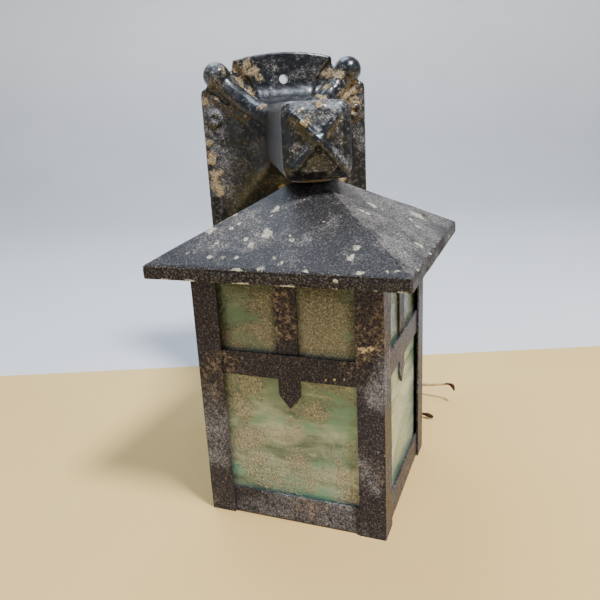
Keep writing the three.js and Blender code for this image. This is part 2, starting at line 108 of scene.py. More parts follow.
def make_camera():
    forward = Vector((
        -math.sin(CAMERA_YAW) * math.cos(CAMERA_PITCH),
        math.cos(CAMERA_YAW) * math.cos(CAMERA_PITCH),
        math.sin(CAMERA_PITCH),
    ))
    level = Vector((math.cos(CAMERA_YAW), math.sin(CAMERA_YAW), 0))
    upright = level.cross(forward)
    right = level * math.cos(CAMERA_ROLL) + upright * math.sin(CAMERA_ROLL)
    up = upright * math.cos(CAMERA_ROLL) - level * math.sin(CAMERA_ROLL)
    data = bpy.data.cameras.new("camera")
    data.lens = CAMERA_LENS
    data.sensor_width = SENSOR
    data.clip_start = 0.01
    camera = bpy.data.objects.new("camera", data)
    bpy.context.scene.collection.objects.link(camera)
    turn = Matrix((right, up, -forward)).transposed().to_4x4()
    camera.matrix_world = Matrix.Translation(CAMERA_PLACE) @ turn
    bpy.context.scene.camera = camera


make_camera()

# ---- Shaping tools


def smooth_line(points, per_span=8):
    """Centripetal Catmull-Rom curve through given points, as a numpy array."""
    p = np.array(points, float)
    p = np.vstack([2 * p[0] - p[1], p, 2 * p[-1] - p[-2]])
    line = [p[1]]
    for a, b, c, d in zip(p, p[1:], p[2:], p[3:]):
        t0, t1, t2 = (max(np.linalg.norm(e) ** 0.5, 1e-6) for e in (b - a, c - b, d - c))
        m1 = ((b - a) / t0 - (c - a) / (t0 + t1) + (c - b) / t1) * t1
        m2 = ((c - b) / t1 - (d - b) / (t1 + t2) + (d - c) / t2) * t1
        for i in range(1, per_span + 1):
            t = i / per_span
            square, cube = t * t, t * t * t
            line.append(
                (2 * cube - 3 * square + 1) * b + (cube - 2 * square + t) * m1
                + (3 * square - 2 * cube) * c + (cube - square) * m2
            )
    return np.array(line)


def make_mesh(name, vertices, faces):
    mesh = bpy.data.meshes.new(name)
    mesh.from_pydata([tuple(v) for v in vertices], [], faces)
    mesh.update()
    return mesh


def make_object(name, mesh):
    obj = bpy.data.objects.new(name, mesh)
    bpy.context.scene.collection.objects.link(obj)
    return obj


def place(obj, to_row):
    """Moves a mesh's own points into the row frame, so that the object stays at the origin."""
    obj.data.transform(to_row)
    obj.data.update()
    return obj


def smooth_shade(obj, degrees):
    obj.data.shade_smooth()
    obj.data.set_sharp_from_angle(angle=math.radians(degrees))


def give_part(obj, body, node, slot, degrees):
    """Shades a piece, hangs it on its body, hides the node it stands for and names its material."""
    smooth_shade(obj, degrees)
    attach(obj, body)
    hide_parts(node)
    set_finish(obj, slot)
    return obj


def bake_modifiers(obj):
    """Replaces an object's mesh by what its modifiers make of it."""
    graph = bpy.context.evaluated_depsgraph_get()
    made = bpy.data.meshes.new_from_object(obj.evaluated_get(graph))
    old = obj.data
    obj.modifiers.clear()
    obj.data = made
    bpy.data.meshes.remove(old)
    return obj


def points_of(mesh):
    out = np.empty(len(mesh.vertices) * 3)
    mesh.vertices.foreach_get("co", out)
    return out.reshape(-1, 3)


def normals_of(mesh):
    out = np.empty(len(mesh.vertices) * 3)
    mesh.vertex_normals.foreach_get("vector", out)
    return out.reshape(-1, 3)


def set_points(mesh, points):
    mesh.vertices.foreach_set("co", np.asarray(points, np.float32).ravel())
    mesh.update()


def edges_of(mesh):
    out = np.empty(len(mesh.edges) * 2, int)
    mesh.edges.foreach_get("vertices", out)
    return out.reshape(-1, 2)


def spread(values, edges, count, rounds):
    """Averages a value over each vertex's neighbours, several times."""
    links = np.bincount(edges.ravel(), minlength=count).astype(float)
    for _ in range(rounds):
        total = np.bincount(edges[:, 0], values[edges[:, 1]], count)
        total += np.bincount(edges[:, 1], values[edges[:, 0]], count)
        values = 0.5 * values + 0.5 * total / np.maximum(links, 1)
    return values


def hollowness(mesh, rounds):
    """How far each vertex lies below (+) or above (-) the mean of its neighbours."""
    p, n, e = points_of(mesh), normals_of(mesh), edges_of(mesh)
    count = len(p)
    mean = np.stack([spread(p[:, k], e, count, rounds) for k in range(3)], 1)
    return ((mean - p) * n).sum(1)


def fractal(points, scale, octaves=3, seed=0.0):
    """Fractal noise from about -1 to 1 at each point, features of 1/scale."""
    shift = Vector((seed, seed * 1.7, -seed))
    return np.array([
        noise.fractal(Vector(p) * scale + shift, 1.0, 2.0, octaves) for p in points
    ])


def unit(values):
    return np.clip(values, 0, 1)


def store(mesh, name, values):
    layer = mesh.attributes.get(name) or mesh.attributes.new(name, "FLOAT", "POINT")
    layer.data.foreach_set("value", np.asarray(values, np.float32))


def patches(points, spots):
    """1 in the middle of given soft patches (place and reach), 0 away from them."""
    total = np.zeros(len(points))
    for *centre, reach in spots:
        away = np.linalg.norm(points[:, : len(centre)] - centre, axis=1)
        total = np.maximum(total, np.exp(-((away / reach) ** 2)))
    return total


def loft(rings, closed_ends=True):
    """Vertices and faces of a closed skin through equal rings of points."""
    count = len(rings[0])
    vertices = [p for ring in rings for p in ring]
    faces = []
    for i in range(len(rings) - 1):
        for j in range(count):
            k = (j + 1) % count
            a, b = i * count, (i + 1) * count
            faces.append((a + j, a + k, b + k, b + j))
    if closed_ends:
        faces.append(tuple(reversed(range(count))))
        faces.append(tuple(range((len(rings) - 1) * count, len(rings) * count)))
    return vertices, faces


def sweep(line, radius_at, sides=20):
    """Rings for a round bar along a line."""
    line = np.asarray(line, float)
    tangents = np.gradient(line, axis=0)
    tangents /= np.linalg.norm(tangents, axis=1)[:, None]
    side = np.cross(tangents[0], (0.0, 0.0, 1.0))
    if np.linalg.norm(side) < 1e-3:
        side = np.cross(tangents[0], (0.0, 1.0, 0.0))
    rings = []
    for i, (p, t) in enumerate(zip(line, tangents)):
        side = side - t * (side @ t)
        side /= np.linalg.norm(side)
        up = np.cross(t, side)
        r = radius_at(i / (len(line) - 1))
        angles = round_angles(sides)
        rings.append([p + r * (math.cos(a) * side + math.sin(a) * up) for a in angles])
    return rings


def prism(outline, y0, y1):
    """A flat outline in x and z with a thickness along Y."""
    return loft([[(x, y, z) for x, z in outline] for y in (y0, y1)])


def round_angles(count):
    return np.linspace(0, 2 * math.pi, count, endpoint=False)


def arc(cx, cz, r, start, end, steps=14):
    """Points of an arc, angles in degrees."""
    angles = np.radians(np.linspace(start, end, steps))
    return [(cx + r * math.cos(a), cz + r * math.sin(a)) for a in angles]


def ball(centre, r, rings=18, sides=32):
    cx, cy, cz = centre
    layers = []
    for i in range(1, rings):
        tilt = math.pi * i / rings - math.pi / 2
        out, up = r * math.cos(tilt), r * math.sin(tilt)
        layers.append(
            [(cx + out * math.cos(a), cy + out * math.sin(a), cz + up) for a in round_angles(sides)]
        )
    return loft(layers)


def drum(r, y0, y1, x, z, sides=40):
    """A cylinder along Y."""
    return prism([(x + px, z + pz) for px, pz in arc(0, 0, r, 0, 360, sides + 1)[:-1]], y0, y1)


def gather(name, shapes):
    """One mesh object from several closed skins."""
    vertices, faces = [], []
    for more, skin in shapes:
        base = len(vertices)
        vertices += list(more)
        faces += [tuple(i + base for i in face) for face in skin]
    mesh = make_mesh(name, vertices, faces)
    work = bmesh.new()
    work.from_mesh(mesh)
    bmesh.ops.recalc_face_normals(work, faces=work.faces)
    work.to_mesh(mesh)
    work.free()
    return make_object(name, mesh)


def fuse(obj, voxel, smoothing):
    """Joins overlapping closed skins into one and rounds its edges."""
    remesh = obj.modifiers.new("fuse", "REMESH")
    remesh.mode = "VOXEL"
    remesh.voxel_size = voxel
    soften = obj.modifiers.new("soften", "SMOOTH")
    soften.factor = 0.5
    soften.iterations = smoothing
    return bake_modifiers(obj)


def cut(obj, tool, operation="DIFFERENCE"):
    step = obj.modifiers.new("cut", "BOOLEAN")
    step.operation = operation
    step.object = tool
    step.solver = "MANIFOLD"
    bake_modifiers(obj)
    bpy.data.objects.remove(tool)
    return obj


# ---- Lead wires, first because their room decides the frame

LEAD_R = 1.3
# The bare strands are squeezed into a knot at this share of their length, this wide
KNOT_AT = 0.6
KNOT_WIDE = 0.25
# Free stretches, in millimetres, from the plate's recess to the bare ends
LEAD_ROUTES = {
    "neutral": [
        (13, -0.4, -93.6), (13, 1.6, -102), (13.6, 1.8, -111), (16.5, -1.2, -121),
        (25, -8.5, -130), (40, -20, -137.4), (60, -33, -142.4), (83, -45.5, -144.6),
        (104, -57, -143), (118, -68, -139),
    ],
    "line": [
        (-13, -0.4, -93.6), (-13, 1.6, -102), (-12.4, 1.6, -111), (-9, -3, -122),
        (0, -13, -133), (15, -27, -142), (33, -43, -148.4), (53, -61, -151.4),
        (72, -78, -152.2), (88, -92, -151.2),
    ],
}
STRAND_ROUTES = {
    "neutral": [(118.25, -68.25, -138.9), (121, -71.5, -138), (122.7, -74.5, -139), (123.1, -76.4, -141.6)],
    "line": [(88.3, -92.25, -151.15), (91.5, -95.5, -150.4), (95, -97.6, -151), (98, -98, -152.4)],
}


def make_lead(name):
    line = smooth_line(LEAD_ROUTES[name], 7) * MM
    wire = gather(f"wire_{name}", [loft(sweep(line, lambda t: LEAD_R * MM, 16))])
    return give_part(wire, "bracket", f"lead_{name}_free", "lead_cover", 60), line


def knot(t):
    """1 in the knot of the strands, 0 away from it."""
    return math.exp(-(((t - KNOT_AT) / KNOT_WIDE) ** 2))


def make_strands(name):
    """Seven bare copper strands, twisted and squeezed to a knot near the tip."""
    line = smooth_line(STRAND_ROUTES[name], 10)
    t = np.linspace(0, 1, len(line))
    shapes = []
    tangent = line[-1] - line[0]
    side = np.cross(tangent, (0, 0, 1.0))
    side /= np.linalg.norm(side)
    up = np.cross(side, tangent / np.linalg.norm(tangent))
    shapes.append(loft(sweep(line, lambda u: 0.32 + 0.5 * knot(u), 8)))
    for k in range(6):
        angle = k * math.pi / 3 + 7.0 * t
        reach = np.array([[0.56 + 0.5 * knot(u)] for u in t])
        offset = reach * (np.cos(angle)[:, None] * side + np.sin(angle)[:, None] * up)
        shapes.append(loft(sweep(line + offset, lambda u: 0.34 + 0.3 * knot(u), 8)))
    strands = gather(f"wire_{name}_strands", shapes)
    place(strands, TO_ROW_WALL)
    return give_part(strands, "bracket", f"lead_{name}_strands", "copper", 60)


for lead in LEAD_ROUTES:
    wire, wire_line = make_lead(lead)
    strands = make_strands(lead)


# ---- Casting: plate, crest, scrolls, arm and cap

PLATE_HALF = 66.5
PLATE_FOOT = -105
PLATE_D = 10.4
CAST_T = 3.2
ARM_HALF = 19.6
ARM_BOTTOM = 52
ARM_TOP = 95
ARM_MID = (ARM_TOP + ARM_BOTTOM) / 2
ARM_CHAMFER = 6
ARM_FRONT = AXIS.y / MM - 26.4
SIDE_COVE = 38
TOP_COVE = 17
UNDER_COVE = 52
CREST_HALF = 39.5
CREST_CORNER_Z = 129
CREST_TOP_Z = 134
CREST_PROUD = 3.2
BALL_X = 53
BALL_Z = 118.5
BALL_R = 10.4
KNOB_X = 57
KNOB_Z = 86
KNOB_R = 6.2
SCREW_HOLE_Z = 113.5
LOWER_HOLE_Z = -88
SCREW_HOLE_R = 3.5
CAP_RISE = 3.4
CAP_INSET = 4.9
PYRAMID_RISE = 3


def cove_reach(radius, depth):
    """How far a hollow curve still stands out at a depth from the plate."""
    if depth >= radius:
        return 0
    return radius - math.sqrt(radius**2 - (radius - depth) ** 2)


def arm_ring(y, side, top, bottom, inset):
    """Outline of the arm in the plane y, with rounded chamfers."""
    x = ARM_HALF + side - inset
    z1 = ARM_TOP + top - inset
    z0 = ARM_BOTTOM - bottom + inset
    c = max(0.5, ARM_CHAMFER - inset * 0.6)
    ring = []
    corners = ((x - c, z1 - c, 90), (x - c, z0 + c, 0), (c - x, z0 + c, -90), (c - x, z1 - c, -180))
    for cx, cz, start in corners:
        ring += [(px, y, pz) for px, pz in arc(cx, cz, c, start, start - 90, 4)]
    return ring


def arm_loft(front, back, inset):
    rings = [arm_ring(front, 0, 0, 0, inset)]
    steps = 24
    for i in range(steps + 1):
        depth = UNDER_COVE * (1 - i / steps) ** 2
        reach = (cove_reach(r, depth) for r in (SIDE_COVE, TOP_COVE, UNDER_COVE))
        rings.append(arm_ring(-PLATE_D - depth + inset, *reach, inset))
    rings.append(arm_ring(back, SIDE_COVE, TOP_COVE, UNDER_COVE, inset))
    return loft(rings)


def crest_top(half, inset):
    """The bowed top edge, from the right corner to the middle."""
    points = []
    for i in range(9):
        t = i / 16
        rise = (CREST_TOP_Z - CREST_CORNER_Z) * 4 * t * (1 - t)
        points.append((half * (1 - 2 * t), CREST_CORNER_Z - inset + rise))
    return points


def with_left(right):
    """Adds the mirrored left half to the right half of an outline."""
    return right + [(-x, z) for x, z in reversed(right) if x > 1e-6]


def plate_outline(inset):
    """Plate, lobes behind the balls and crest, drawn in by inset."""
    w = PLATE_HALF - inset
    r = BALL_R - inset
    crest = CREST_HALF - inset
    notch = BALL_Z + 2 - inset
    shoulder = -PLATE_FOOT - inset
    right = [(w, PLATE_FOOT + inset), (w, shoulder)]
    right += arc(BALL_X, BALL_Z, r, -45, 162)
    right += [(crest + 0.6, notch)]
    return with_left(right + crest_top(crest, inset))


def crest_outline():
    foot = ARM_TOP + 8
    foot_half = ARM_HALF + 1
    right = []
    for i in range(9):
        t = i / 8
        a, b, c = (1 - t) ** 2, 2 * t * (1 - t), t * t
        x = a * foot_half + b * (foot_half + 4) + c * CREST_HALF
        right.append((x, a * foot + b * (foot + 9) + c * CREST_CORNER_Z))
    return with_left(right + crest_top(CREST_HALF, 0)[1:])


# A scroll runs from each ball to the arm, with a thin ridge below it from the plate's edge
SCROLL = [(BALL_X, -9.5, BALL_Z), (41, -14, 105), (28, -24, 94), (17, -44, 87), (12.5, -66, 85.5)]
RIDGE = [(65, -9.6, 108), (55, -11, 100.5), (43, -14, 92), (31, -21, 83), (24.5, -32, 76), (20, -48, 71)]


def mirrored(path, side, per_span):
    return smooth_line([(side * x, y, z) for x, y, z in path], per_span)


def cap_shapes():
    """Bevelled end face with a low pyramid, crossed ribs and a bump in the middle."""
    rim = ARM_FRONT - CAP_RISE
    top = rim - PYRAMID_RISE
    half = ARM_HALF - CAP_INSET
    tall = (ARM_TOP - ARM_BOTTOM) / 2 - CAP_INSET
    shapes = [loft([arm_ring(rim, 0, 0, 0, CAP_INSET), arm_ring(ARM_FRONT + 0.01, 0, 0, 0, 0)])]
    corners = ((-1, -1), (1, -1), (1, 1), (-1, 1))
    layers = [(top, 0.06), (rim + 0.5, 0.97)]
    shapes.append(loft([
        [(sx * half * k, y, ARM_MID + sz * tall * k) for sx, sz in corners] for y, k in layers
    ]))
    for lean, width in ((1, 3.0), (-1, 2.1)):
        middle = (0, top, ARM_MID)
        for side in (-1, 1):
            start = (side * half * 0.93, rim + 0.1, ARM_MID - side * lean * tall * 0.93)
            line = np.linspace(start, middle, 8)
            shapes.append(loft(sweep(line, lambda t, w=width: w * (0.85 + 0.15 * t), 10)))
    shapes.append(ball((0, top + 1.2, ARM_MID), 4.4))
    return shapes


def cove_curve(end):
    """The hollow below the crest, in y and z, from the crest's face round to an angle."""
    y = -PLATE_D - CREST_PROUD - TOP_COVE
    z = ARM_TOP + TOP_COVE
    return [(y + py, z + pz) for py, pz in arc(0, 0, TOP_COVE, 0, end, 20)]


def crest_cove():
    """Tool that cuts the hollow into the crest: its curve, closed well behind it."""
    tail = -PLATE_D - CREST_PROUD - TOP_COVE - 12
    section = cove_curve(-90) + [(tail, ARM_TOP), (tail, ARM_TOP + TOP_COVE)]
    return loft([[(x, y, z) for y, z in section] for x in (-30, 30)])


def crest_foot():
    """Fills the corner between crest and arm up to the hollow."""
    curve = cove_curve(-84)
    section = curve + [(curve[-1][0], ARM_TOP - 4), (-2, ARM_TOP - 4), (-2, curve[0][1])]
    return loft([
        [(side * (ARM_HALF - 0.5 + 0.42 * max(z - ARM_TOP, 0)), y, z) for y, z in section]
        for side in (-1, 1)
    ])


def make_casting():
    shapes = [prism(plate_outline(0), -PLATE_D, 0), arm_loft(ARM_FRONT, -1, 0)]
    shapes += cap_shapes()
    shapes.append(crest_foot())
    for side in (-1, 1):
        scroll = mirrored(SCROLL, side, 10)
        shapes.append(loft(sweep(scroll, lambda t: 7.2 + 0.6 * math.sin(math.pi * t))))
        shapes.append(loft(sweep(mirrored(RIDGE, side, 8), lambda t: 2.0 - 0.8 * t, 12)))
        shapes.append(ball((side * BALL_X, -10, BALL_Z), BALL_R))
        shapes.append(drum(KNOB_R, -PLATE_D - 3, -2, side * KNOB_X, KNOB_Z))
    crest = gather("crest", [prism(crest_outline(), -PLATE_D - CREST_PROUD, -1)])
    cut(crest, gather("cove", [crest_cove()]))
    skin = [tuple(v.co) for v in crest.data.vertices]
    polygons = [tuple(p.vertices) for p in crest.data.polygons]
    bpy.data.objects.remove(crest)
    whole = gather("bracket_casting", shapes + [(skin, polygons)])
    return fuse(whole, 1.15, 4)


def arm_hollow():
    """Recess behind the plate and bore of the arm, as one rough-edged tool."""
    recess = prism(plate_outline(CAST_T), -PLATE_D + CAST_T, 3)
    bore = arm_loft(ARM_FRONT + CAST_T + 1, 3, CAST_T)
    hollow = fuse(gather("hollow", [recess, bore]), 1.6, 2)
    p, n = points_of(hollow.data), normals_of(hollow.data)
    rough = 0.25 * fractal(p, 0.12, 3, 4.0)
    set_points(hollow.data, p + n * np.where(p[:, 1] < -1, rough, 0)[:, None])
    return hollow


def shape_casting():
    """Cuts the hollow and the holes, and leaves the screw bosses standing."""
    obj = make_casting()
    p, n = points_of(obj.data), normals_of(obj.data)
    lumps = 0.22 * fractal(p, 0.07, 2, 1.0) + 0.12 * fractal(p, 0.28, 3, 2.0)
    outside = p[:, 1] < -0.5
    low_or_high = (p[:, 2] < PLATE_FOOT + 3) | (p[:, 2] > CREST_TOP_Z - 4)
    inward = (np.abs(p[:, 0]) > PLATE_HALF - 3) | low_or_high
    lumps = np.where(inward, -np.abs(lumps), lumps)
    set_points(obj.data, p + n * np.where(outside, lumps, 0)[:, None])
    cut(obj, arm_hollow())
    for z in (SCREW_HOLE_Z, LOWER_HOLE_Z):
        cut(obj, gather("boss", [drum(7.5, -PLATE_D + 0.8, 0, 0, z)]), "UNION")
        cut(obj, gather("hole", [drum(SCREW_HOLE_R, -40, 2, 0, z)]))
    for side in (-1, 1):
        cut(obj, gather("dimple", [ball((side * KNOB_X, -PLATE_D - 4.6, KNOB_Z), 3.6)]))
    angles = round_angles(32)
    rings = [
        [(5.6 * math.cos(a), AXIS.y / MM + 5.6 * math.sin(a), z) for a in angles]
        for z in (ARM_BOTTOM - 3, ARM_BOTTOM + CAST_T + 4)
    ]
    cut(obj, gather("nipple_hole", [loft(rings)]))
    return obj


# Dried earth left in the corners, in millimetres, each with its reach
MUD = [
    (-27.5, -13.5, 126.7, 6), (-24, -13.6, 120, 6), (-20, -13.6, 116, 5), (-32, -13, 118, 6),
    (-38, -10.5, 123.8, 6), (-36, -10.4, 112, 6), (-29, -13, 104, 6), (-25, -22, 100, 5),
    (-20.4, -45.8, 93.7, 5), (-48.6, -17.4, 121.6, 4.5), (38.4, -10.4, 116, 7),
    (44, -17.5, 114.4, 6), (42, -14, 106, 8), (47, -16, 99, 8), (28, -32, 97.6, 7),
    (33, -20, 106, 6), (55, -10.6, 92, 8), (50, -11, 76, 5), (-63, -10.4, 55, 7),
    (-60, -10.4, 42, 8), (-58, -10.3, 31, 7), (-64, -10.4, 68, 5), (-64, -10.4, 100, 4),
    (-7.3, -19.7, 29.8, 3), (45.2, -12.6, 30.6, 3.5), (-9, -190, 90, 2.5), (-6.4, -192, 84, 3),
    (2, -188, 93, 3), (54, -12, 104, 7), (-44, -11, 108, 4), (-61, -11, 107, 3), (-53, -13, 101, 3),
    (-44, -15, 94, 2.5), (-33, -21, 86, 2.5), (-23, -44, 79, 2.5),
]
# Where dust is thicker on the plate and the arm's end, and where the paint is clean; the grey on the arm's
# left side by the cap is a painted highlight
PLATE_DUST = [(-52, -11, 52, 17), (-56, -11, 88, 13), (-46, -13, 22, 14), (58, -11, 60, 12)]
CAP_DUST_AND_HIGHLIGHT = [(-19, -183, 86, 9), (-19, -182, 68, 9), (-8, -188, 60, 8), (6, -188, 58, 8), (16, -186, 62, 6)]
CLEAN = [(0, -24, 102, 11), (-16, -22, 103, 9), (16, -22, 103, 9), (-36, -20, 104, 7), (0, -14, 128, 7)]
CAP_DUST_Y = -181


def add_mud(obj):
    """Marks where earth and dust lie, with a painted highlight on the arm's left side by the cap, and
    builds the earth up a little.
    """
    mesh = obj.data
    p, n = points_of(mesh), normals_of(mesh)
    ragged = fractal(p, 0.22, 3, 6.0)
    mud = patches(p, MUD) + 0.35 * ragged * (patches(p, MUD) > 0.12)
    hollow = np.clip(hollowness(mesh, 3) * 1.6, 0, 0.5)
    front = (n[:, 1] < 0.3) & (p[:, 1] < -2)
    mud = unit(mud + hollow * unit(ragged + 0.5)) * front
    across = np.abs(p[:, 0]) / (ARM_HALF - CAP_INSET)
    upward = np.abs(p[:, 2] - ARM_MID) / ((ARM_TOP - ARM_BOTTOM) / 2 - CAP_INSET)
    off_ribs = np.abs(across - upward) > 0.2
    panel = (np.maximum(across, upward) < 0.97) & off_ribs & (p[:, 1] < CAP_DUST_Y)
    dust = np.clip(0.25 * n[:, 2], 0, 0.2) + 0.75 * panel
    # Grey film on the cap's face is dust; on the arm's left side by the cap it is a painted highlight.
    dust = dust + 0.7 * patches(p, PLATE_DUST) + 0.8 * patches(p, CAP_DUST_AND_HIGHLIGHT) - 1.2 * patches(p, CLEAN)
    store(mesh, "mud", mud)
    store(mesh, "dust", np.clip(dust, -1, 1) * front)
    heap = unit(mud - 0.25) * (0.4 + 1.1 * fractal(p, 0.4, 3, 7.0))
    inside = np.abs(p[:, 0]) < PLATE_HALF - 1.5
    set_points(mesh, p + n * (unit(heap) * inside * front)[:, None])


def build_casting():
    obj = shape_casting()
    add_mud(obj)
    return give_part(place(obj, TO_ROW_WALL), "bracket", "wall_bracket", "cast_iron", 60)


build_casting()

# ---- Roof: four soldered sheets with a turned-down fascia

EAVE_HALF = 76
EAVE_Z = 158
FASCIA_TOP = 165.4
ROOF_TOP_Z = 202.6
ROOF_TOP_HALF = 11
ROOF_T = 1.2
HOLE_R = 5.6
SLOPE = (ROOF_TOP_Z - FASCIA_TOP) / (EAVE_HALF - ROOF_TOP_HALF)


def side_stops(half):
    """Places along one side of a square ring, close together near the corners."""
    near = [0.0, 0.45, 0.9, 1.5, 2.4, 3.6]
    near = [min(d, half * 0.12 * (i + 1)) if half < 9 else d for i, d in enumerate(near)]
    near[0] = 0.0
    inner = half - near[-1]
    middle = list(np.linspace(-inner, inner, 61))
    return [-half + d for d in near[:-1]] + middle + [half - d for d in reversed(near[1:-1])]


def square_ring(half, z, round_share):
    """A square ring of points; round_share blends it into a circle of the same size."""
    ring = []
    for k in range(4):
        turn = k * math.pi / 2
        c, s = math.cos(turn), math.sin(turn)
        for along in side_stops(half):
            out = -half
            end = half - abs(along)
            if end < 1.4:
                pull = 0.4 * (1 - end / 1.4) ** 2
                out += pull
                along -= math.copysign(pull, along)
            angle = math.pi / 4 * along / half
            round_x, round_y = half * math.sin(angle), -half * math.cos(angle)
            x = along * (1 - round_share) + round_x * round_share
            y = out * (1 - round_share) + round_y * round_share
            ring.append((x * c - y * s, x * s + y * c, z))
    return ring


def roof_stations():
    """(half, height, share of circle, outer face) from the hole down and back up inside."""
    outer = [(HOLE_R, ROOF_TOP_Z, 1.0), (7.4, ROOF_TOP_Z, 0.6), (9.2, ROOF_TOP_Z, 0.25)]
    outer += [(ROOF_TOP_HALF - 0.6, ROOF_TOP_Z - 0.05, 0), (ROOF_TOP_HALF + 0.3, ROOF_TOP_Z - 0.3, 0)]
    for half in np.linspace(ROOF_TOP_HALF + 1.4, EAVE_HALF - 1.2, 50):
        outer.append((half, ROOF_TOP_Z - SLOPE * (half - ROOF_TOP_HALF), 0))
    outer += [(EAVE_HALF - 0.45, FASCIA_TOP + 0.1, 0), (EAVE_HALF - 0.1, FASCIA_TOP - 0.35, 0)]
    outer += [(EAVE_HALF - 0.05, z, 0) for z in (164.3, 163.4, 162.2, 161.0, 159.9, 158.9)]
    outer += [(EAVE_HALF - 0.1, EAVE_Z + 0.3, 0), (EAVE_HALF - 0.35, EAVE_Z + 0.05, 0)]
    inner_half = EAVE_HALF - ROOF_T
    inner_top = ROOF_TOP_HALF - 1.2
    inner = [(inner_half + 0.3, EAVE_Z + 0.05, 0), (inner_half, EAVE_Z + 0.4, 0), (inner_half, 163.6, 0)]
    for half in np.linspace(inner_half - 1, inner_top, 14):
        inner.append((half, ROOF_TOP_Z - ROOF_T - SLOPE * (half - inner_top), 0))
    inner.append((HOLE_R, ROOF_TOP_Z - ROOF_T, 1.0))
    return outer, inner


# Crusts, thick dust and bare paint on the roof: lantern x, y in millimetres and reach
CRUSTS = [
    (-11.5, -32, 3.2), (-10.3, -50.5, 5), (-44.9, -49, 4), (-37.6, -57.6, 2.6), (-15.1, -59, 2.8),
    (-35.6, -35.9, 2.6), (43.1, -58.2, 2.6), (41.7, -64.6, 3), (56.8, 34.9, 7), (68.5, -20.7, 4),
    (-3.7, -74.6, 3), (20.5, -74.6, 2.4), (49.5, -74.6, 3), (36, 2, 4), (62, 12, 3), (-52, -66, 2.2),
    (-28, -68, 2), (6, -70, 2.2), (-60, 20, 5), (-30, 48, 5), (40, 60, 4), (-58, -30, 3),
]
DUSTY = [
    (5.4, -62.9, 17), (-12.5, -52.6, 15), (-24, -44, 14), (-40, -58, 14), (9.8, -16, 9),
    (26, -48, 8), (45, -62, 9), (56, 10, 24), (60, -40, 14), (40, 40, 22), (-55, 10, 18),
    (-20, 55, 22), (60, 60, 14),
]
BARE = [
    (10, -37, 11), (30.9, -67.1, 10), (-16.5, -73, 8), (22, -52, 7), (-30, -28, 6), (15, -25, 6),
    (33, -49, 6), (44, -59, 6), (54, -70, 7), (-19, -27, 8), (0, -71, 5), (-55, -71, 6),
    (-38, -71, 5),
]


def mark_roof(mesh, p, on_slope, along_fascia):
    """Stores where dust, crusts, a painted highlight along two hips and the browner fascia are."""
    ragged = fractal(p, 0.09, 3, 11.0)
    flat = p[:, :2]
    # The whole right slope is made paler, and a narrow band along all four hips too.
    paler_right_slope = 0.3 * (p[:, 0] > np.abs(p[:, 1]) + 1)
    dust = 0.3 + paler_right_slope + 0.5 * patches(flat, DUSTY) - 0.9 * patches(flat, BARE) + 0.4 * ragged
    hip = np.abs(np.abs(p[:, 0]) - np.abs(p[:, 1]))
    dust = dust + 0.35 * np.exp(-((hip / 1.2) ** 2)) * (ragged > -0.2)
    store(mesh, "dust", unit(dust) * (on_slope | along_fascia))
    store(mesh, "blots", patches(flat, CRUSTS) * on_slope)
    field = np.exp(-(((p[:, 0] + 12) / 34) ** 2 + ((p[:, 1] + 52) / 24) ** 2))
    store(mesh, "lichen", unit(field + 0.5 * ragged) * on_slope)
    black_end = (p[:, 1] < -70) & (p[:, 0] > 52)
    store(mesh, "fascia", along_fascia * np.where(black_end, 0.15, 1.0))
    low_edge = np.exp(-(((p[:, 2] - EAVE_Z) / 1.3) ** 2)) * unit(0.4 + ragged * 1.4)
    fold = np.exp(-(((p[:, 2] - FASCIA_TOP - 0.3) / 0.7) ** 2)) * unit(ragged * 1.5)
    # Painted highlight: a pale line along the front-left and back-right hips, where the hip edge catches
    # the light.
    hip_highlight_sides = (p[:, 0] * p[:, 1] > 0) * on_slope
    seam = np.exp(-((hip / 0.5) ** 2)) * unit(0.35 + ragged) * hip_highlight_sides
    store(mesh, "edge", np.maximum(np.maximum(low_edge, fold), seam))


def make_roof():
    outer, inner = roof_stations()
    rings = [square_ring(*station) for station in outer + inner]
    vertices, faces = loft(rings, closed_ends=False)
    count = len(rings[0])
    last = (len(rings) - 1) * count
    faces += [(last + j, last + (j + 1) % count, (j + 1) % count, j) for j in range(count)]
    obj = gather("roof_skin", [(vertices, faces)])
    mesh = obj.data
    p, n = points_of(mesh), normals_of(mesh)
    ring_of = np.arange(len(p)) // count
    on_outer = (ring_of < len(outer)) & (ring_of > 3)
    on_slope = on_outer & (ring_of < len(outer) - 10)
    sway = 0.45 * fractal(p, 0.022, 2, 3.0) + 0.1 * fractal(p, 0.11, 2, 5.0)
    spot = np.arange(len(p)) % (count // 4)
    seam = np.isin(spot, range(count // 4 - 4, count // 4)) * (0.35 + 0.2 * fractal(p, 0.05, 2, 8.0))
    along_fascia = on_outer & ~on_slope
    groove = unit(0.5 + 0.9 * fractal(p, 0.03, 2, 9.0)) * 0.5
    groove = np.isclose(p[:, 2], 164.3, atol=0.2) * groove
    shift = np.where(on_slope, sway - seam, 0)
    shift = np.where(along_fascia, -np.abs(sway) * 0.5 - groove, shift)
    mark_roof(mesh, p, on_slope, along_fascia)
    set_points(mesh, p + n * shift[:, None])
    return give_part(place(obj, TO_ROW), "lantern", "roof_shell", "roof_steel", 35)


make_roof()

# ---- Turned and threaded pieces on the nipple


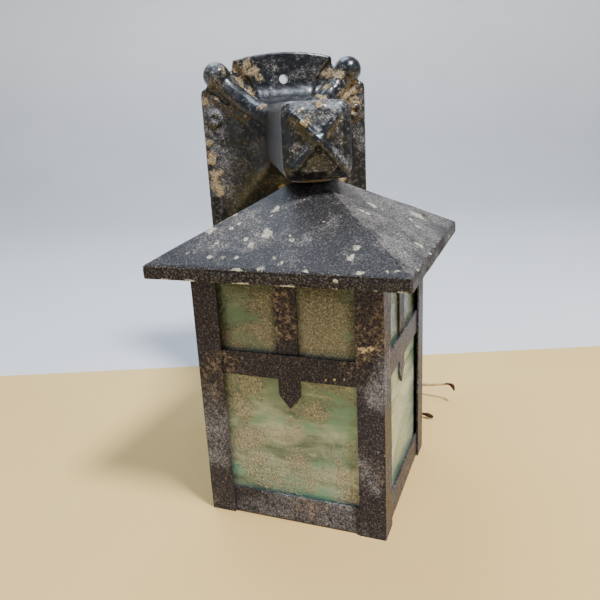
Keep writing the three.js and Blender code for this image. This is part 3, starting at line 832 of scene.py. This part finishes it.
def turned(name, profile, node, body, slot, sides=64, closed=False):
    """A turned piece about the nipple's line, from (radius, height) pairs.

    An open profile starts and ends on the line.
    """
    angles = round_angles(sides)
    vertices, faces, rows = [], [], []
    for r, z in profile:
        if r < 1e-6:
            rows.append([len(vertices)])
            vertices.append((0, 0, z))
        else:
            rows.append(list(range(len(vertices), len(vertices) + sides)))
            vertices += [(r * math.cos(a), r * math.sin(a), z) for a in angles]
    pairs = list(zip(rows, rows[1:])) + ([(rows[-1], rows[0])] if closed else [])
    for low, high in pairs:
        for j in range(sides):
            k = (j + 1) % sides
            if len(low) == 1:
                faces.append((low[0], high[k], high[j]))
            elif len(high) == 1:
                faces.append((low[j], low[k], high[0]))
            else:
                faces.append((low[j], low[k], high[k], high[j]))
    obj = place(gather(name, [(vertices, faces)]), TO_ROW_PLAIN)
    return give_part(obj, body, node, slot, 40)


def threaded(r_low, r_high, z0, z1, pitch):
    """Rows of a thread seen from the side."""
    rows = []
    turns = int((z1 - z0) / pitch)
    for i in range(turns):
        z = z0 + i * pitch
        rows += [(r_low, z), (r_high - 0.1, z + pitch * 0.38)]
        rows += [(r_high, z + pitch * 0.5), (r_high - 0.1, z + pitch * 0.62)]
    rows.append((r_low, z0 + turns * pitch))
    return rows


def washer_profile(r_in, r_out, z0, z1):
    edge = 0.3
    outer = [(r_out - edge, z0), (r_out, z0 + edge), (r_out, z1 - edge), (r_out - edge, z1)]
    return [(r_in, z0)] + outer + [(r_in, z1)]


def node_heights(node):
    """Lowest and highest point of a node, in millimetres above the feet of the posts."""
    low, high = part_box(node)
    return (low.z - FLOOR_Z) / MM, (high.z - FLOOR_Z) / MM


NIPPLE_R = 5.1
BORE = 3.7
nipple_low, nipple_high = node_heights("nipple")
rows = [(BORE, nipple_low)] + threaded(NIPPLE_R - 0.5, NIPPLE_R, nipple_low, nipple_high, 1.4)
turned("nipple_thread", rows + [(BORE, nipple_high)], "nipple", "bracket", "plain_steel", closed=True)
for washer, r_out in (("arm_washer", 11), ("seat_washer", 12), ("clamp_washer", 10.5)):
    turned(
        f"{washer}_round", washer_profile(NIPPLE_R + 0.3, r_out, *node_heights(washer)), washer,
        "bracket", "plain_steel", closed=True,
    )

LAMP_R = 23.5
LAMP_BOTTOM = 44


def bulb_profile():
    middle = LAMP_BOTTOM + LAMP_R
    outer = []
    for angle in np.radians(np.linspace(-90, 48, 34)):
        outer.append((max(LAMP_R * math.cos(angle), 0), middle + LAMP_R * math.sin(angle)))
    outer[0] = (0, LAMP_BOTTOM)
    start, end = outer[-1], (11.8, 109.4)
    for t in np.linspace(0.12, 1, 14):
        ease = t * t * (3 - 2 * t)
        r = start[0] + (end[0] - start[0]) * (0.45 * t + 0.55 * ease) ** 0.8
        outer.append((r, start[1] + (end[1] - start[1]) * t))
    inner = [(max(r - 0.8, 0), z + (0.8 if i < 8 else 0)) for i, (r, z) in enumerate(outer)]
    return outer + list(reversed(inner))


turned("bulb_glass", bulb_profile(), "lamp_bulb", "lamp", "lamp_glass")
SCREW_PITCH = 3.6
cap_inside = [(0, 133.4), (7.4, 133.2), (10.9, 130.2), (11.2, 109.9), (11.7, 109.7)]
cap_thread = threaded(11.9, 12.65, 110.6, 130.4, SCREW_PITCH)
turned(
    "bulb_screw_cap", cap_inside + cap_thread + [(11.6, 131.2), (8, 134.3), (0, 134.4)],
    "lamp_screw_cap", "lamp", "brass",
)
turned(
    "bulb_tip", [
        (0, 134.7), (5.5, 134.75), (5.1, 135.6), (4.2, 137), (3.2, 138.2), (1.8, 138.6), (0, 138.6),
    ], "lamp_tip", "lamp", "brass", 40,
)
turned(
    "socket_body", [
        (2.4, 148.6), (17.3, 148.6), (17.9, 148), (17.9, 140.6), (17.6, 139.6), (17.0, 138.6),
        (16.9, 137.6), (16.9, 114), (16.6, 112.7), (15.9, 112.1), (15.0, 112), (14.75, 112.4),
        (14.7, 141), (2.4, 141),
    ], "lampholder_body", "bracket", "porcelain", closed=True,
)
turned(
    "socket_cap", [
        (5.4, 158.8), (8.1, 158.8), (8.4, 158.5), (8.4, 155.3), (9.0, 154.7), (18.6, 152.6),
        (19.3, 152.1), (19.6, 151.4), (19.6, 146.2), (19.2, 145.8), (19.2, 144.9), (19.6, 144.5),
        (19.6, 142.2), (19.3, 142), (18.6, 142), (18.4, 142.3), (18.4, 151.2), (7.4, 153.8),
        (5.4, 153.8),
    ], "lampholder_cap", "bracket", "brass", closed=True,
)
shell_thread = list(reversed(threaded(13.75, 13.35, 116, 137, SCREW_PITCH)))
turned(
    "socket_shell", [(13.4, 115), (14.4, 115), (14.4, 138), (13.4, 138)] + shell_thread,
    "lampholder_shell", "bracket", "brass", closed=True,
)

# ---- Materials


def tone(r, g, b):
    """Colour from its 0 to 255 screen values."""
    linear = []
    for value in (r, g, b):
        v = value / 255
        linear.append(v / 12.92 if v <= 0.04045 else ((v + 0.055) / 1.055) ** 2.4)
    return (*linear, 1)


class Look:
    """A procedural material, with one short call for each step of its recipe."""

    def __init__(self, name, **surface):
        self.material = bpy.data.materials.new(name)
        self.material.use_nodes = True
        self.tree = self.material.node_tree
        self.shader = self.tree.nodes["Principled BSDF"]
        for key, value in surface.items():
            self.shader.inputs[key.replace("_", " ")].default_value = value
        self.where = self.tree.nodes.new("ShaderNodeTexCoord").outputs["Object"]

    def put(self, socket, value):
        if isinstance(value, bpy.types.NodeSocket):
            self.tree.links.new(value, socket)
        else:
            socket.default_value = value

    def node(self, kind, **inputs):
        """A new node with its sockets set or linked, by name with _ for a space."""
        node = self.tree.nodes.new(f"ShaderNode{kind}")
        for key, value in inputs.items():
            self.put(node.inputs[key.replace("_", " ")], value)
        return node

    def math_node(self, kind, operation, terms):
        node = self.node(kind)
        node.operation = operation
        for socket, term in zip(node.inputs, terms):
            self.put(socket, term)
        return node

    def calc(self, operation, *terms):
        return self.math_node("Math", operation, terms).outputs[0]

    def vector_calc(self, operation, *terms):
        return self.math_node("VectorMath", operation, terms).outputs

    def plus(self, a, b):
        return self.calc("ADD", a, b)

    def less(self, a, b):
        return self.calc("SUBTRACT", a, b)

    def both(self, a, b):
        return self.calc("MULTIPLY", a, b)

    def most(self, total, *others):
        for value in others:
            total = self.calc("MAXIMUM", total, value)
        return total

    def frame_space(self, turn):
        """Coordinates turned about the lantern's line, so that x runs along a side."""
        feet = (AXIS.x, AXIS.y, FLOOR_Z)
        node = self.node("Mapping", Vector=self.where, Location=feet, Rotation=(0, 0, turn))
        node.vector_type = "TEXTURE"
        return node.outputs["Vector"]

    def stretch(self, vector, scale, shift=(0, 0, 0)):
        return self.node("Mapping", Vector=vector, Scale=scale, Location=shift).outputs["Vector"]

    def wander(self, vector, scale, amount):
        """Shifts coordinates about, so that what is placed with them has uneven edges."""
        colour = self.node("TexNoise", Scale=scale, Detail=3, Vector=vector).outputs["Color"]
        shift = self.vector_calc("SUBTRACT", colour, (0.5, 0.5, 0.5))["Vector"]
        return self.vector_calc("MULTIPLY_ADD", shift, (amount, amount, amount), vector)["Vector"]

    def noise(self, scale, detail=4, rough=0.55, distort=0, vector=None):
        node = self.node(
            "TexNoise", Scale=scale, Detail=detail, Roughness=rough, Distortion=distort,
            Vector=vector or self.where,
        )
        return node.outputs["Fac"]

    def cells(self, scale):
        return self.node("TexVoronoi", Scale=scale, Vector=self.where).outputs["Distance"]

    def band(self, value, low, high, to_low=0, to_high=1):
        """Smooth step of a value between two limits."""
        node = self.node(
            "MapRange", Value=value, From_Min=low, From_Max=high, To_Min=to_low, To_Max=to_high,
        )
        node.interpolation_type = "SMOOTHSTEP"
        return node.outputs["Result"]

    def mix(self, share, a, b):
        node = self.node("Mix")
        node.data_type = "RGBA"
        for socket, value in (("Factor", share), (6, a), (7, b)):
            self.put(node.inputs[socket], value)
        return node.outputs[2]

    def shades(self, value, *stops):
        """Colours along a value, each stop a place and the colour's screen values."""
        node = self.node("ValToRGB", Fac=value)
        ramp = node.color_ramp
        while len(ramp.elements) < len(stops):
            ramp.elements.new(1)
        for element, (position, *screen) in zip(ramp.elements, stops):
            element.position = position
            element.color = tone(*screen)
        return node.outputs["Color"]

    def layer(self, name):
        """A value stored on the mesh."""
        node = self.node("Attribute")
        node.attribute_name = name
        return node.outputs["Fac"]

    def spots(self, vector, places, flatten=1.0):
        """1 in round patches given as x, y, z and reach in millimetres; flatten makes them wide."""
        space = self.stretch(vector, (1, 1, flatten))
        found = []
        for x, y, z, reach in places:
            centre = (x * MM, y * MM, z * flatten * MM)
            away = self.vector_calc("DISTANCE", space, centre)["Value"]
            found.append(self.band(away, reach * 1.35 * MM, reach * 0.35 * MM))
        return self.most(*found)

    def ragged(self, value, noise, amount, low, high):
        """Gives a soft patch a grainy edge."""
        return self.band(self.plus(value, self.both(self.less(noise, 0.5), amount)), low, high)

    def part(self, vector, axis):
        return self.node("SeparateXYZ", Vector=vector).outputs[axis]

    def relief(self, height, distance, strength, under=None):
        node = self.node("Bump", Distance=distance, Strength=strength, Height=height)
        if under is not None:
            self.put(node.inputs["Normal"], under)
        return node.outputs["Normal"]

    def give(self, **results):
        for key, value in results.items():
            self.put(self.shader.inputs[key.replace("_", " ")], value)
        return self.material


def cast_iron_look():
    """Glossy black paint under thin dust, with dried earth in the corners."""
    look = Look("cast_iron", Specular_IOR_Level=0.5, Specular_Tint=(0.76, 0.86, 1.0, 1.0))
    fine = look.noise(950, 4, 0.7)
    coarse = look.noise(330, 5, 0.68)
    field = look.noise(30, 5, 0.62, 0.5)
    paint = look.mix(look.band(coarse, 0.4, 0.64), tone(6, 7, 11), tone(30, 31, 38))
    film = look.shades(fine, (0.36, 26, 27, 34), (0.5, 84, 84, 90), (0.64, 184, 182, 180))
    # The dust layer also carries a painted highlight on the arm's left side by the cap.
    share = look.plus(field, look.both(look.layer("dust"), 0.2))
    dusty = look.ragged(share, coarse, 0.7, 0.46, 0.84)
    colour = look.mix(look.both(dusty, 0.9), paint, film)
    grains = look.both(look.band(fine, 0.5, 0.62), look.band(coarse, 0.5, 0.64))
    colour = look.mix(look.both(grains, 0.5), colour, tone(160, 156, 150))
    earth = look.shades(fine, (0.36, 84, 70, 50), (0.5, 156, 136, 104), (0.64, 226, 210, 176))
    mud = look.both(look.less(look.noise(130, 5, 0.7), 0.5), 2.2)
    mud = look.plus(look.layer("mud"), mud)
    mud = look.ragged(mud, coarse, 1.5, 0.42, 0.8)
    colour = look.mix(look.both(mud, 0.92), colour, earth)
    rough = look.plus(look.band(dusty, 0, 1, 0.32, 0.6), look.both(mud, 0.35))
    bumps = look.plus(look.both(coarse, 0.8), look.both(fine, look.band(dusty, 0, 1, 0.1, 0.5)))
    normal = look.relief(bumps, 0.0006, 0.7)
    normal = look.relief(look.both(fine, mud), 0.0014, 1.0, normal)
    shine = look.less(0.42, look.most(look.both(dusty, 0.36), look.both(mud, 0.3)))
    return look.give(
        Base_Color=colour, Roughness=look.calc("MINIMUM", rough, 0.95), Normal=normal,
        Coat_Weight=look.most(shine, 0), Coat_Roughness=0.12,
    )


def roof_look():
    """Blackened sheet under grey dust, with cream crusts and a painted highlight along two hips."""
    look = Look("roof_steel", Specular_IOR_Level=0.12)
    fine = look.noise(980, 4, 0.72)
    coarse = look.noise(300, 5, 0.68)
    mottle = look.noise(48, 6, 0.66, 0.4)
    dark = look.shades(fine, (0.34, 22, 21, 24), (0.53, 48, 47, 50), (0.74, 112, 110, 110))
    grey = look.shades(fine, (0.34, 50, 49, 53), (0.5, 88, 86, 88), (0.68, 166, 163, 157))
    dusty = look.plus(look.layer("dust"), look.both(look.less(mottle, 0.53), 2.8))
    dusty = look.ragged(dusty, coarse, 1.1, 0.1, 1.1)
    colour = look.mix(dusty, dark, grey)
    brown = look.shades(fine, (0.34, 14, 13, 16), (0.52, 46, 44, 48), (0.7, 128, 124, 122))
    colour = look.mix(look.layer("fascia"), colour, brown)
    cell = look.ragged(look.band(look.cells(130), 0.4, 0.12), coarse, 1.0, 0.62, 0.85)
    chosen = look.band(look.plus(look.noise(80, 2), look.both(look.layer("lichen"), 0.2)), 0.61, 0.68)
    blots = look.both(look.ragged(look.layer("blots"), coarse, 2.0, 0.5, 0.85), 0.75)
    # The edge layer holds pale crust along the eave and the fold, and the painted hip highlight.
    edge = look.ragged(look.layer("edge"), coarse, 2.0, 0.45, 0.8)
    grains = look.both(look.band(coarse, 0.62, 0.7, 0, 0.45), look.band(fine, 0.5, 0.62))
    pale = look.most(look.both(cell, chosen), blots, edge, grains)
    crust = look.shades(fine, (0.36, 124, 119, 102), (0.62, 228, 224, 204))
    colour = look.mix(look.both(pale, 0.9), colour, crust)
    rough = look.plus(look.band(dusty, 0, 1, 0.45, 0.8), look.both(pale, 0.1))
    height = look.plus(look.both(coarse, 0.6), look.both(pale, 0.8))
    return look.give(Base_Color=colour, Roughness=rough, Normal=look.relief(height, 0.0007, 0.7))


# Where the front of the cage is grey, dark, tan or crusted: x, y, z from the feet and reach
CAGE_GREY = [
    (-52, -57, 60, 24), (-52, -57, 84, 9), (49, -57, 96, 10), (-10, -56, 9, 26), (24, -56, 10, 24),
    (46, -57, 46, 8), (50, -57, 36, 7), (-50, -57, 36, 12),
]
CAGE_DARK = [
    (-50, -57, 132, 26), (50, -57, 68, 16), (8, -56, 101, 24), (-52, -57, 18, 12), (51, -57, 147, 8),
    (44, -57, 149, 7), (52, -57, 18, 16),
]
CAGE_TAN = [
    (-52, -57, 101, 8), (-38, -56, 104, 8), (50, -57, 128, 20), (0, -55, 126, 30), (10, -56, 14, 10),
]
CAGE_CRUST = [
    (44.9, -57, 119.3, 2.4), (49.9, -57, 120.9, 2.2), (23.2, -56, 98.6, 1.3), (28.5, -56, 99.2, 1.1),
    (33.8, -56, 99.8, 1.3),
]


def frame_look():
    """Purple-black steel with grey dust, tan specks and a few crusts."""
    look = Look("frame_steel", Specular_IOR_Level=0.3, Specular_Tint=(0.45, 0.6, 1.0, 1.0))
    flat = look.frame_space(TWIST)
    fine = look.noise(980, 4, 0.72)
    coarse = look.noise(320, 5, 0.68)
    field = look.noise(28, 5, 0.62, 0.5)
    base = look.shades(fine, (0.34, 14, 12, 19), (0.53, 50, 45, 55), (0.72, 134, 125, 128))
    dusty = look.shades(fine, (0.34, 52, 54, 66), (0.5, 104, 106, 116), (0.7, 188, 187, 190))
    near = look.wander(flat, 60, 0.02)
    share = look.plus(field, look.both(look.spots(near, CAGE_GREY), 0.2))
    black = look.spots(near, CAGE_DARK)
    share = look.less(share, look.both(black, 0.3))
    colour = look.mix(look.ragged(share, coarse, 0.8, 0.44, 0.84), base, dusty)
    tan_field = look.noise(26, 3, 0.6, 0.3, look.stretch(look.where, (1, 1, 1), (3.1, 0.7, 1.9)))
    tan_field = look.plus(tan_field, look.both(look.spots(near, CAGE_TAN), 0.34))
    tan_field = look.less(tan_field, look.both(black, 0.2))
    specks = look.both(look.band(tan_field, 0.5, 0.72), look.band(coarse, 0.42, 0.6))
    tan = look.shades(fine, (0.36, 58, 48, 48), (0.64, 178, 162, 150))
    colour = look.mix(look.both(specks, 0.85), colour, tan)
    crust = look.ragged(look.spots(look.wander(flat, 400, 0.006), CAGE_CRUST), coarse, 2.6, 0.4, 0.7)
    cream = look.mix(look.band(fine, 0.4, 0.6), tone(176, 160, 128), tone(230, 218, 190))
    colour = look.mix(crust, colour, cream)
    rough = look.band(share, 0.4, 0.8, 0.42, 0.8)
    height = look.plus(look.both(coarse, 0.7), look.most(specks, crust))
    return look.give(Base_Color=colour, Roughness=rough, Normal=look.relief(height, 0.0008, 0.85))


PANE_Y = -53
# On the front pane: sand, dark green, clear green and pale streaks (x, z, reach); the dark green spots at
# the upper corners are painted shade
PANE_SAND = [
    (14, 77, 5), (21, 73, 4), (23, 51, 4), (28, 42, 4), (31, 33, 5), (34, 22, 6), (30, 15, 6),
    (5, 41, 4), (-30, 72, 9), (-30, 50, 10), (-24, 30, 12), (-24, 90, 9), (24, 140, 19),
    (22, 119, 9), (-10, 142, 10),
]
PANE_DEEP_AND_SHADE = [
    (8, 55, 11), (22, 52, 8), (-10, 46, 9), (0, 71, 7), (39.6, 62, 5), (-34, 84, 5), (38, 40, 4),
    (-38, 124, 6), (-36, 148, 8), (38, 148, 8),
]
PANE_CLEAR = [
    (30, 70, 12), (12, 62, 10), (-30, 132, 13), (-24, 117, 14), (38.5, 126, 6), (16, 20, 12),
    (16, 40, 7), (-20, 66, 8), (33, 80, 9), (36, 64, 8), (28, 88, 6),
]
PANE_PALE = [(-2, 60, 14), (-24, 72, 9), (-8, 34, 8)]


def on_pane(places):
    return [(x, PANE_Y, z, reach) for x, z, reach in places]


def glass_look(side, turn, sand_share, seed):
    """Streaked green and white slag glass under a sandy film, with painted shade on the upper panes."""
    look = Look(
        f"slag_glass_{side}", Specular_IOR_Level=0.5, Subsurface_Weight=0.2, Subsurface_Scale=0.003,
    )
    flat = look.frame_space(turn)
    streaks = look.noise(1, 5, 0.6, 1.1, look.stretch(flat, (9, 1, 36), (seed, 0, seed * 0.37)))
    wisps = look.noise(1, 6, 0.68, 1.6, look.stretch(flat, (24, 1, 84), (seed * 2, 3, seed)))
    aqua = look.noise(1, 4, 0.5, 0.8, look.stretch(flat, (14, 1, 30), (seed + 5, 0, 1)))
    colour = look.shades(
        streaks, (0.3, 72, 104, 90), (0.43, 112, 138, 122), (0.55, 158, 174, 156), (0.7, 206, 210, 192),
    )
    colour = look.mix(look.band(wisps, 0.53, 0.72, 0, 0.7), colour, tone(208, 214, 196))
    colour = look.mix(look.band(wisps, 0.42, 0.32, 0, 0.7), colour, tone(66, 102, 92))
    colour = look.mix(look.band(aqua, 0.56, 0.7, 0, 0.8), colour, tone(112, 172, 156))
    film = look.noise(30, 5, 0.62, 0.4, look.stretch(flat, (1, 1, 1), (seed, seed, 0)))
    coarse = look.noise(320, 5, 0.68)
    fine = look.noise(980, 4, 0.72)
    height = look.part(flat, "Z")
    upper = look.band(height, 0.088, 0.112)
    film = look.plus(look.plus(film, 0.3 * sand_share - 0.16), look.both(upper, 0.12))
    if side == "front":
        near = look.wander(flat, 70, 0.022)
        dark_green_and_shade = look.both(look.spots(near, on_pane(PANE_DEEP_AND_SHADE), 3), look.band(wisps, 0.35, 0.6, 1, 0.4))
        pale = look.both(look.spots(near, on_pane(PANE_PALE), 5), look.band(wisps, 0.4, 0.6, 0.4, 1))
        clear = look.spots(near, on_pane(PANE_CLEAR), 2.2)
        # Dark green glass, and painted shade at the upper corners.
        colour = look.mix(look.both(dark_green_and_shade, 0.8), colour, tone(58, 84, 76))
        colour = look.mix(look.both(pale, 0.55), colour, tone(214, 213, 186))
        colour = look.mix(look.both(clear, 0.65), colour, tone(106, 156, 134))
        film = look.plus(film, look.both(look.spots(near, on_pane(PANE_SAND)), 0.3))
        bare = look.most(look.both(clear, 0.2), look.both(dark_green_and_shade, 0.25))
        film = look.less(film, bare)
    film = look.ragged(film, coarse, 0.7, 0.42, 0.82)
    sand = look.shades(fine, (0.36, 84, 78, 66), (0.5, 148, 141, 124), (0.64, 216, 210, 192))
    colour = look.mix(look.both(film, 0.78), colour, sand)
    # Painted shade: the upper panes, in the eave's shadow, are darkened, most beside the posts, the centre
    # strip and under the top rail.
    across = look.calc("ABSOLUTE", look.part(flat, "X"))
    shade_beside_strips = look.most(look.band(across, 0.033, 0.041), look.band(across, 0.012, 0.006))
    rim = look.most(shade_beside_strips, look.band(height, 0.14, 0.152))
    shade = look.both(upper, look.plus(look.both(rim, 0.4), 0.4))
    colour = look.mix(shade, colour, tone(34, 44, 40))
    grit = look.both(look.band(fine, 0.58, 0.68), look.band(film, 0, 1, 0.15, 0.8))
    colour = look.mix(look.both(grit, 0.6), colour, tone(212, 198, 164))
    rough = look.band(film, 0, 1, 0.2, 0.75)
    beads = look.both(look.noise(640, 2, 0.5), look.band(film, 0, 1, 0.25, 1))
    normal = look.relief(streaks, 0.0004, 0.5)
    normal = look.relief(beads, 0.0012, 0.9, normal)
    return look.give(Base_Color=colour, Roughness=rough, Normal=normal)


def metal_look(name, low, high, rough_low, rough_high, metallic=1.0, scale=140):
    """Stained metal between two colours, with scale spots to the metre."""
    look = Look(name, Metallic=metallic)
    stain = look.noise(scale, 6, 0.65, 0.3)
    fine = look.noise(scale * 7, 3, 0.6)
    colour = look.mix(look.band(stain, 0.38, 0.66), low, high)
    rough = look.band(look.plus(stain, look.both(fine, 0.3)), 0.45, 0.8, rough_low, rough_high)
    normal = look.relief(look.plus(stain, fine), 0.0002, 0.5)
    return look.give(Base_Color=colour, Roughness=rough, Normal=normal)


def porcelain_look():
    look = Look(
        "porcelain", Coat_Weight=0.6, Coat_Roughness=0.12,
        Subsurface_Weight=0.1, Subsurface_Scale=0.002,
    )
    stain = look.noise(90, 5, 0.6)
    specks = look.band(look.noise(900, 3, 0.6), 0.68, 0.74)
    colour = look.mix(look.band(stain, 0.4, 0.75), tone(236, 230, 216), tone(206, 194, 170))
    colour = look.mix(look.both(specks, 0.5), colour, tone(120, 100, 78))
    return look.give(
        Base_Color=colour, Roughness=look.band(stain, 0.3, 0.8, 0.18, 0.4),
        Normal=look.relief(look.noise(60, 3), 0.0003, 0.4),
    )


def bulb_look():
    look = Look(
        "lamp_glass", Subsurface_Weight=0.5, Subsurface_Scale=0.006,
        Coat_Weight=0.4, Coat_Roughness=0.08,
    )
    frost = look.noise(240, 5, 0.6)
    dust = look.band(look.noise(50, 5, 0.6, 0.5), 0.5, 0.8)
    colour = look.mix(frost, tone(236, 234, 226), tone(248, 247, 242))
    colour = look.mix(look.both(dust, 0.5), colour, tone(196, 184, 158))
    rough = look.band(dust, 0, 1, 0.24, 0.6)
    return look.give(Base_Color=colour, Roughness=rough, Normal=look.relief(frost, 0.0001, 0.4))


def wire_look():
    look = Look("lead_cover", Specular_IOR_Level=0.4)
    stain = look.noise(120, 5, 0.65)
    colour = look.shades(stain, (0.3, 150, 124, 84), (0.5, 204, 184, 142), (0.7, 222, 208, 172))
    return look.give(
        Base_Color=colour, Roughness=look.band(stain, 0.3, 0.7, 0.55, 0.8),
        Normal=look.relief(look.noise(900, 3, 0.6), 0.0002, 0.5),
    )


LOOKS = {
    "cast_iron": cast_iron_look(),
    "roof_steel": roof_look(),
    "frame_steel": frame_look(),
    "plain_steel": metal_look("plain_steel", tone(92, 84, 76), tone(150, 146, 140), 0.4, 0.7),
    "brass": metal_look("brass", tone(92, 70, 38), tone(178, 146, 84), 0.3, 0.6),
    "copper": metal_look("copper", tone(44, 24, 18), tone(98, 58, 40), 0.45, 0.8, 0.5, 500),
    "porcelain": porcelain_look(),
    "lamp_glass": bulb_look(),
    "lead_cover": wire_look(),
}
for k, (side, sand) in enumerate(zip(SIDES, (0.75, 0.1, 0.4, 0.55))):
    LOOKS[f"pane_{side}"] = glass_look(side, TWIST + k * math.pi / 2, sand, 3.7 + 5.3 * k)


def dress(obj, look):
    obj.data.materials.clear()
    obj.data.materials.append(LOOKS[look])


def soften_edges(obj, width):
    bevel = obj.modifiers.new("soft_edges", "BEVEL")
    bevel.width = width
    bevel.segments = 2
    bevel.limit_method = "ANGLE"
    bevel.angle_limit = math.radians(35)
    obj.data.shade_smooth()
    weighted = obj.modifiers.new("shading", "WEIGHTED_NORMAL")
    weighted.keep_sharp = False


METAL_EDGE = 0.0003
GLASS_EDGE = 0.0006
SLOT_OF = {entry["node"]: entry["material_slot"] for entry in frame["record"]["subparts"]}
for node, obj in frame["nodes"].items():
    dress(obj, node if node.startswith("pane_") else SLOT_OF[node])
    if not obj.hide_render:
        soften_edges(obj, GLASS_EDGE if SLOT_OF[node] == "slag_glass" else METAL_EDGE)
for obj in bpy.context.scene.objects:
    if obj.type == "MESH" and "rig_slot" in obj and obj.get("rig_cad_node") is None:
        dress(obj, obj["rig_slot"])

# ---- Stage

FLOOR_HALF = 3.0
BOARD_Y = 0.048
BOARD_TURN = math.radians(-6.2)
COVE_START = 0.95
COVE_R = 0.7
WALL_TOP = 2.6
# Name, direction, distance, size, watts and colour
LIGHTS = (
    ("key", (-0.304, 0.426, -0.852), 1.5, 0.3, 42, (1, 0.985, 0.95)),
    ("fill", (0.75, 0.62, -0.35), 2.0, 1.6, 4, (0.9, 0.95, 1)),
    ("overhead", (0.16, -0.42, -0.88), 1.4, 0.9, 18, (0.7, 0.84, 1)),
)
WORLD_COLOUR = (0.82, 0.89, 1, 1)
WORLD_STRENGTH = 0.3


def stage_look(name, colour, low, rough):
    """Plain pale stock, with a faint cloudiness, painted lighter higher up."""
    look = Look(name, Specular_IOR_Level=0.2)
    # Painted light: the backdrop is made lighter with height, to make up for the light falling off towards
    # its top.
    height = look.band(look.part(look.where, "Z"), FLOOR_Z, FLOOR_Z + 0.6)
    shade = look.plus(height, look.band(look.noise(5, 3, 0.5), 0.3, 0.7, -0.06, 0.06))
    return look.give(Base_Color=look.mix(shade, low, colour), Roughness=rough)


def sheet(name, profile, look):
    """A wide sheet that follows a profile in y and z, turned a little with the board."""
    about = Matrix.Translation((0, BOARD_Y, 0)) @ Matrix.Rotation(BOARD_TURN, 4, "Z")
    ends = (-FLOOR_HALF, FLOOR_HALF)
    vertices = [about @ Vector((x, y - BOARD_Y, z)) for y, z in profile for x in ends]
    faces = [(2 * i, 2 * i + 1, 2 * i + 3, 2 * i + 2) for i in range(len(profile) - 1)]
    obj = make_object(name, make_mesh(name, vertices, faces))
    obj.data.shade_smooth()
    obj.data.materials.append(look)
    return obj


def make_stage():
    floor_look = stage_look("floor", tone(255, 240, 200), tone(221, 188, 124), 0.9)
    board_look = stage_look("backdrop", tone(252, 253, 255), tone(214, 217, 223), 0.9)
    floor = sheet("floor", [(-FLOOR_HALF, FLOOR_Z), (BOARD_Y, FLOOR_Z)], floor_look)
    bend = [
        (COVE_START + COVE_R * math.sin(a), FLOOR_Z + COVE_R * (1 - math.cos(a)))
        for a in np.linspace(0, math.pi / 2, 40)
    ]
    profile = [(BOARD_Y, FLOOR_Z)] + bend + [(COVE_START + COVE_R, WALL_TOP)]
    sheet("backdrop", profile, board_look)


def area_light(name, direction, distance, size, watts, colour):
    """A soft light that shines along a direction onto the middle of the lantern."""
    data = bpy.data.lights.new(name, "AREA")
    data.shape = "DISK"
    data.size = size
    data.energy = watts
    data.color = colour
    lamp = make_object(name, data)
    aim = Vector(direction).normalized()
    middle = Vector((0, AXIS.y * 0.8, 0))
    turn = aim.to_track_quat("-Z", "Y").to_matrix().to_4x4()
    lamp.matrix_world = Matrix.Translation(middle - aim * distance) @ turn


def make_world():
    world = bpy.data.worlds.new("studio")
    world.use_nodes = True
    background = world.node_tree.nodes["Background"]
    background.inputs["Color"].default_value = WORLD_COLOUR
    background.inputs["Strength"].default_value = WORLD_STRENGTH
    bpy.context.scene.world = world


make_stage()
for light in LIGHTS:
    area_light(*light)
make_world()

# ---- Last update of the scene

bpy.context.view_layer.update()
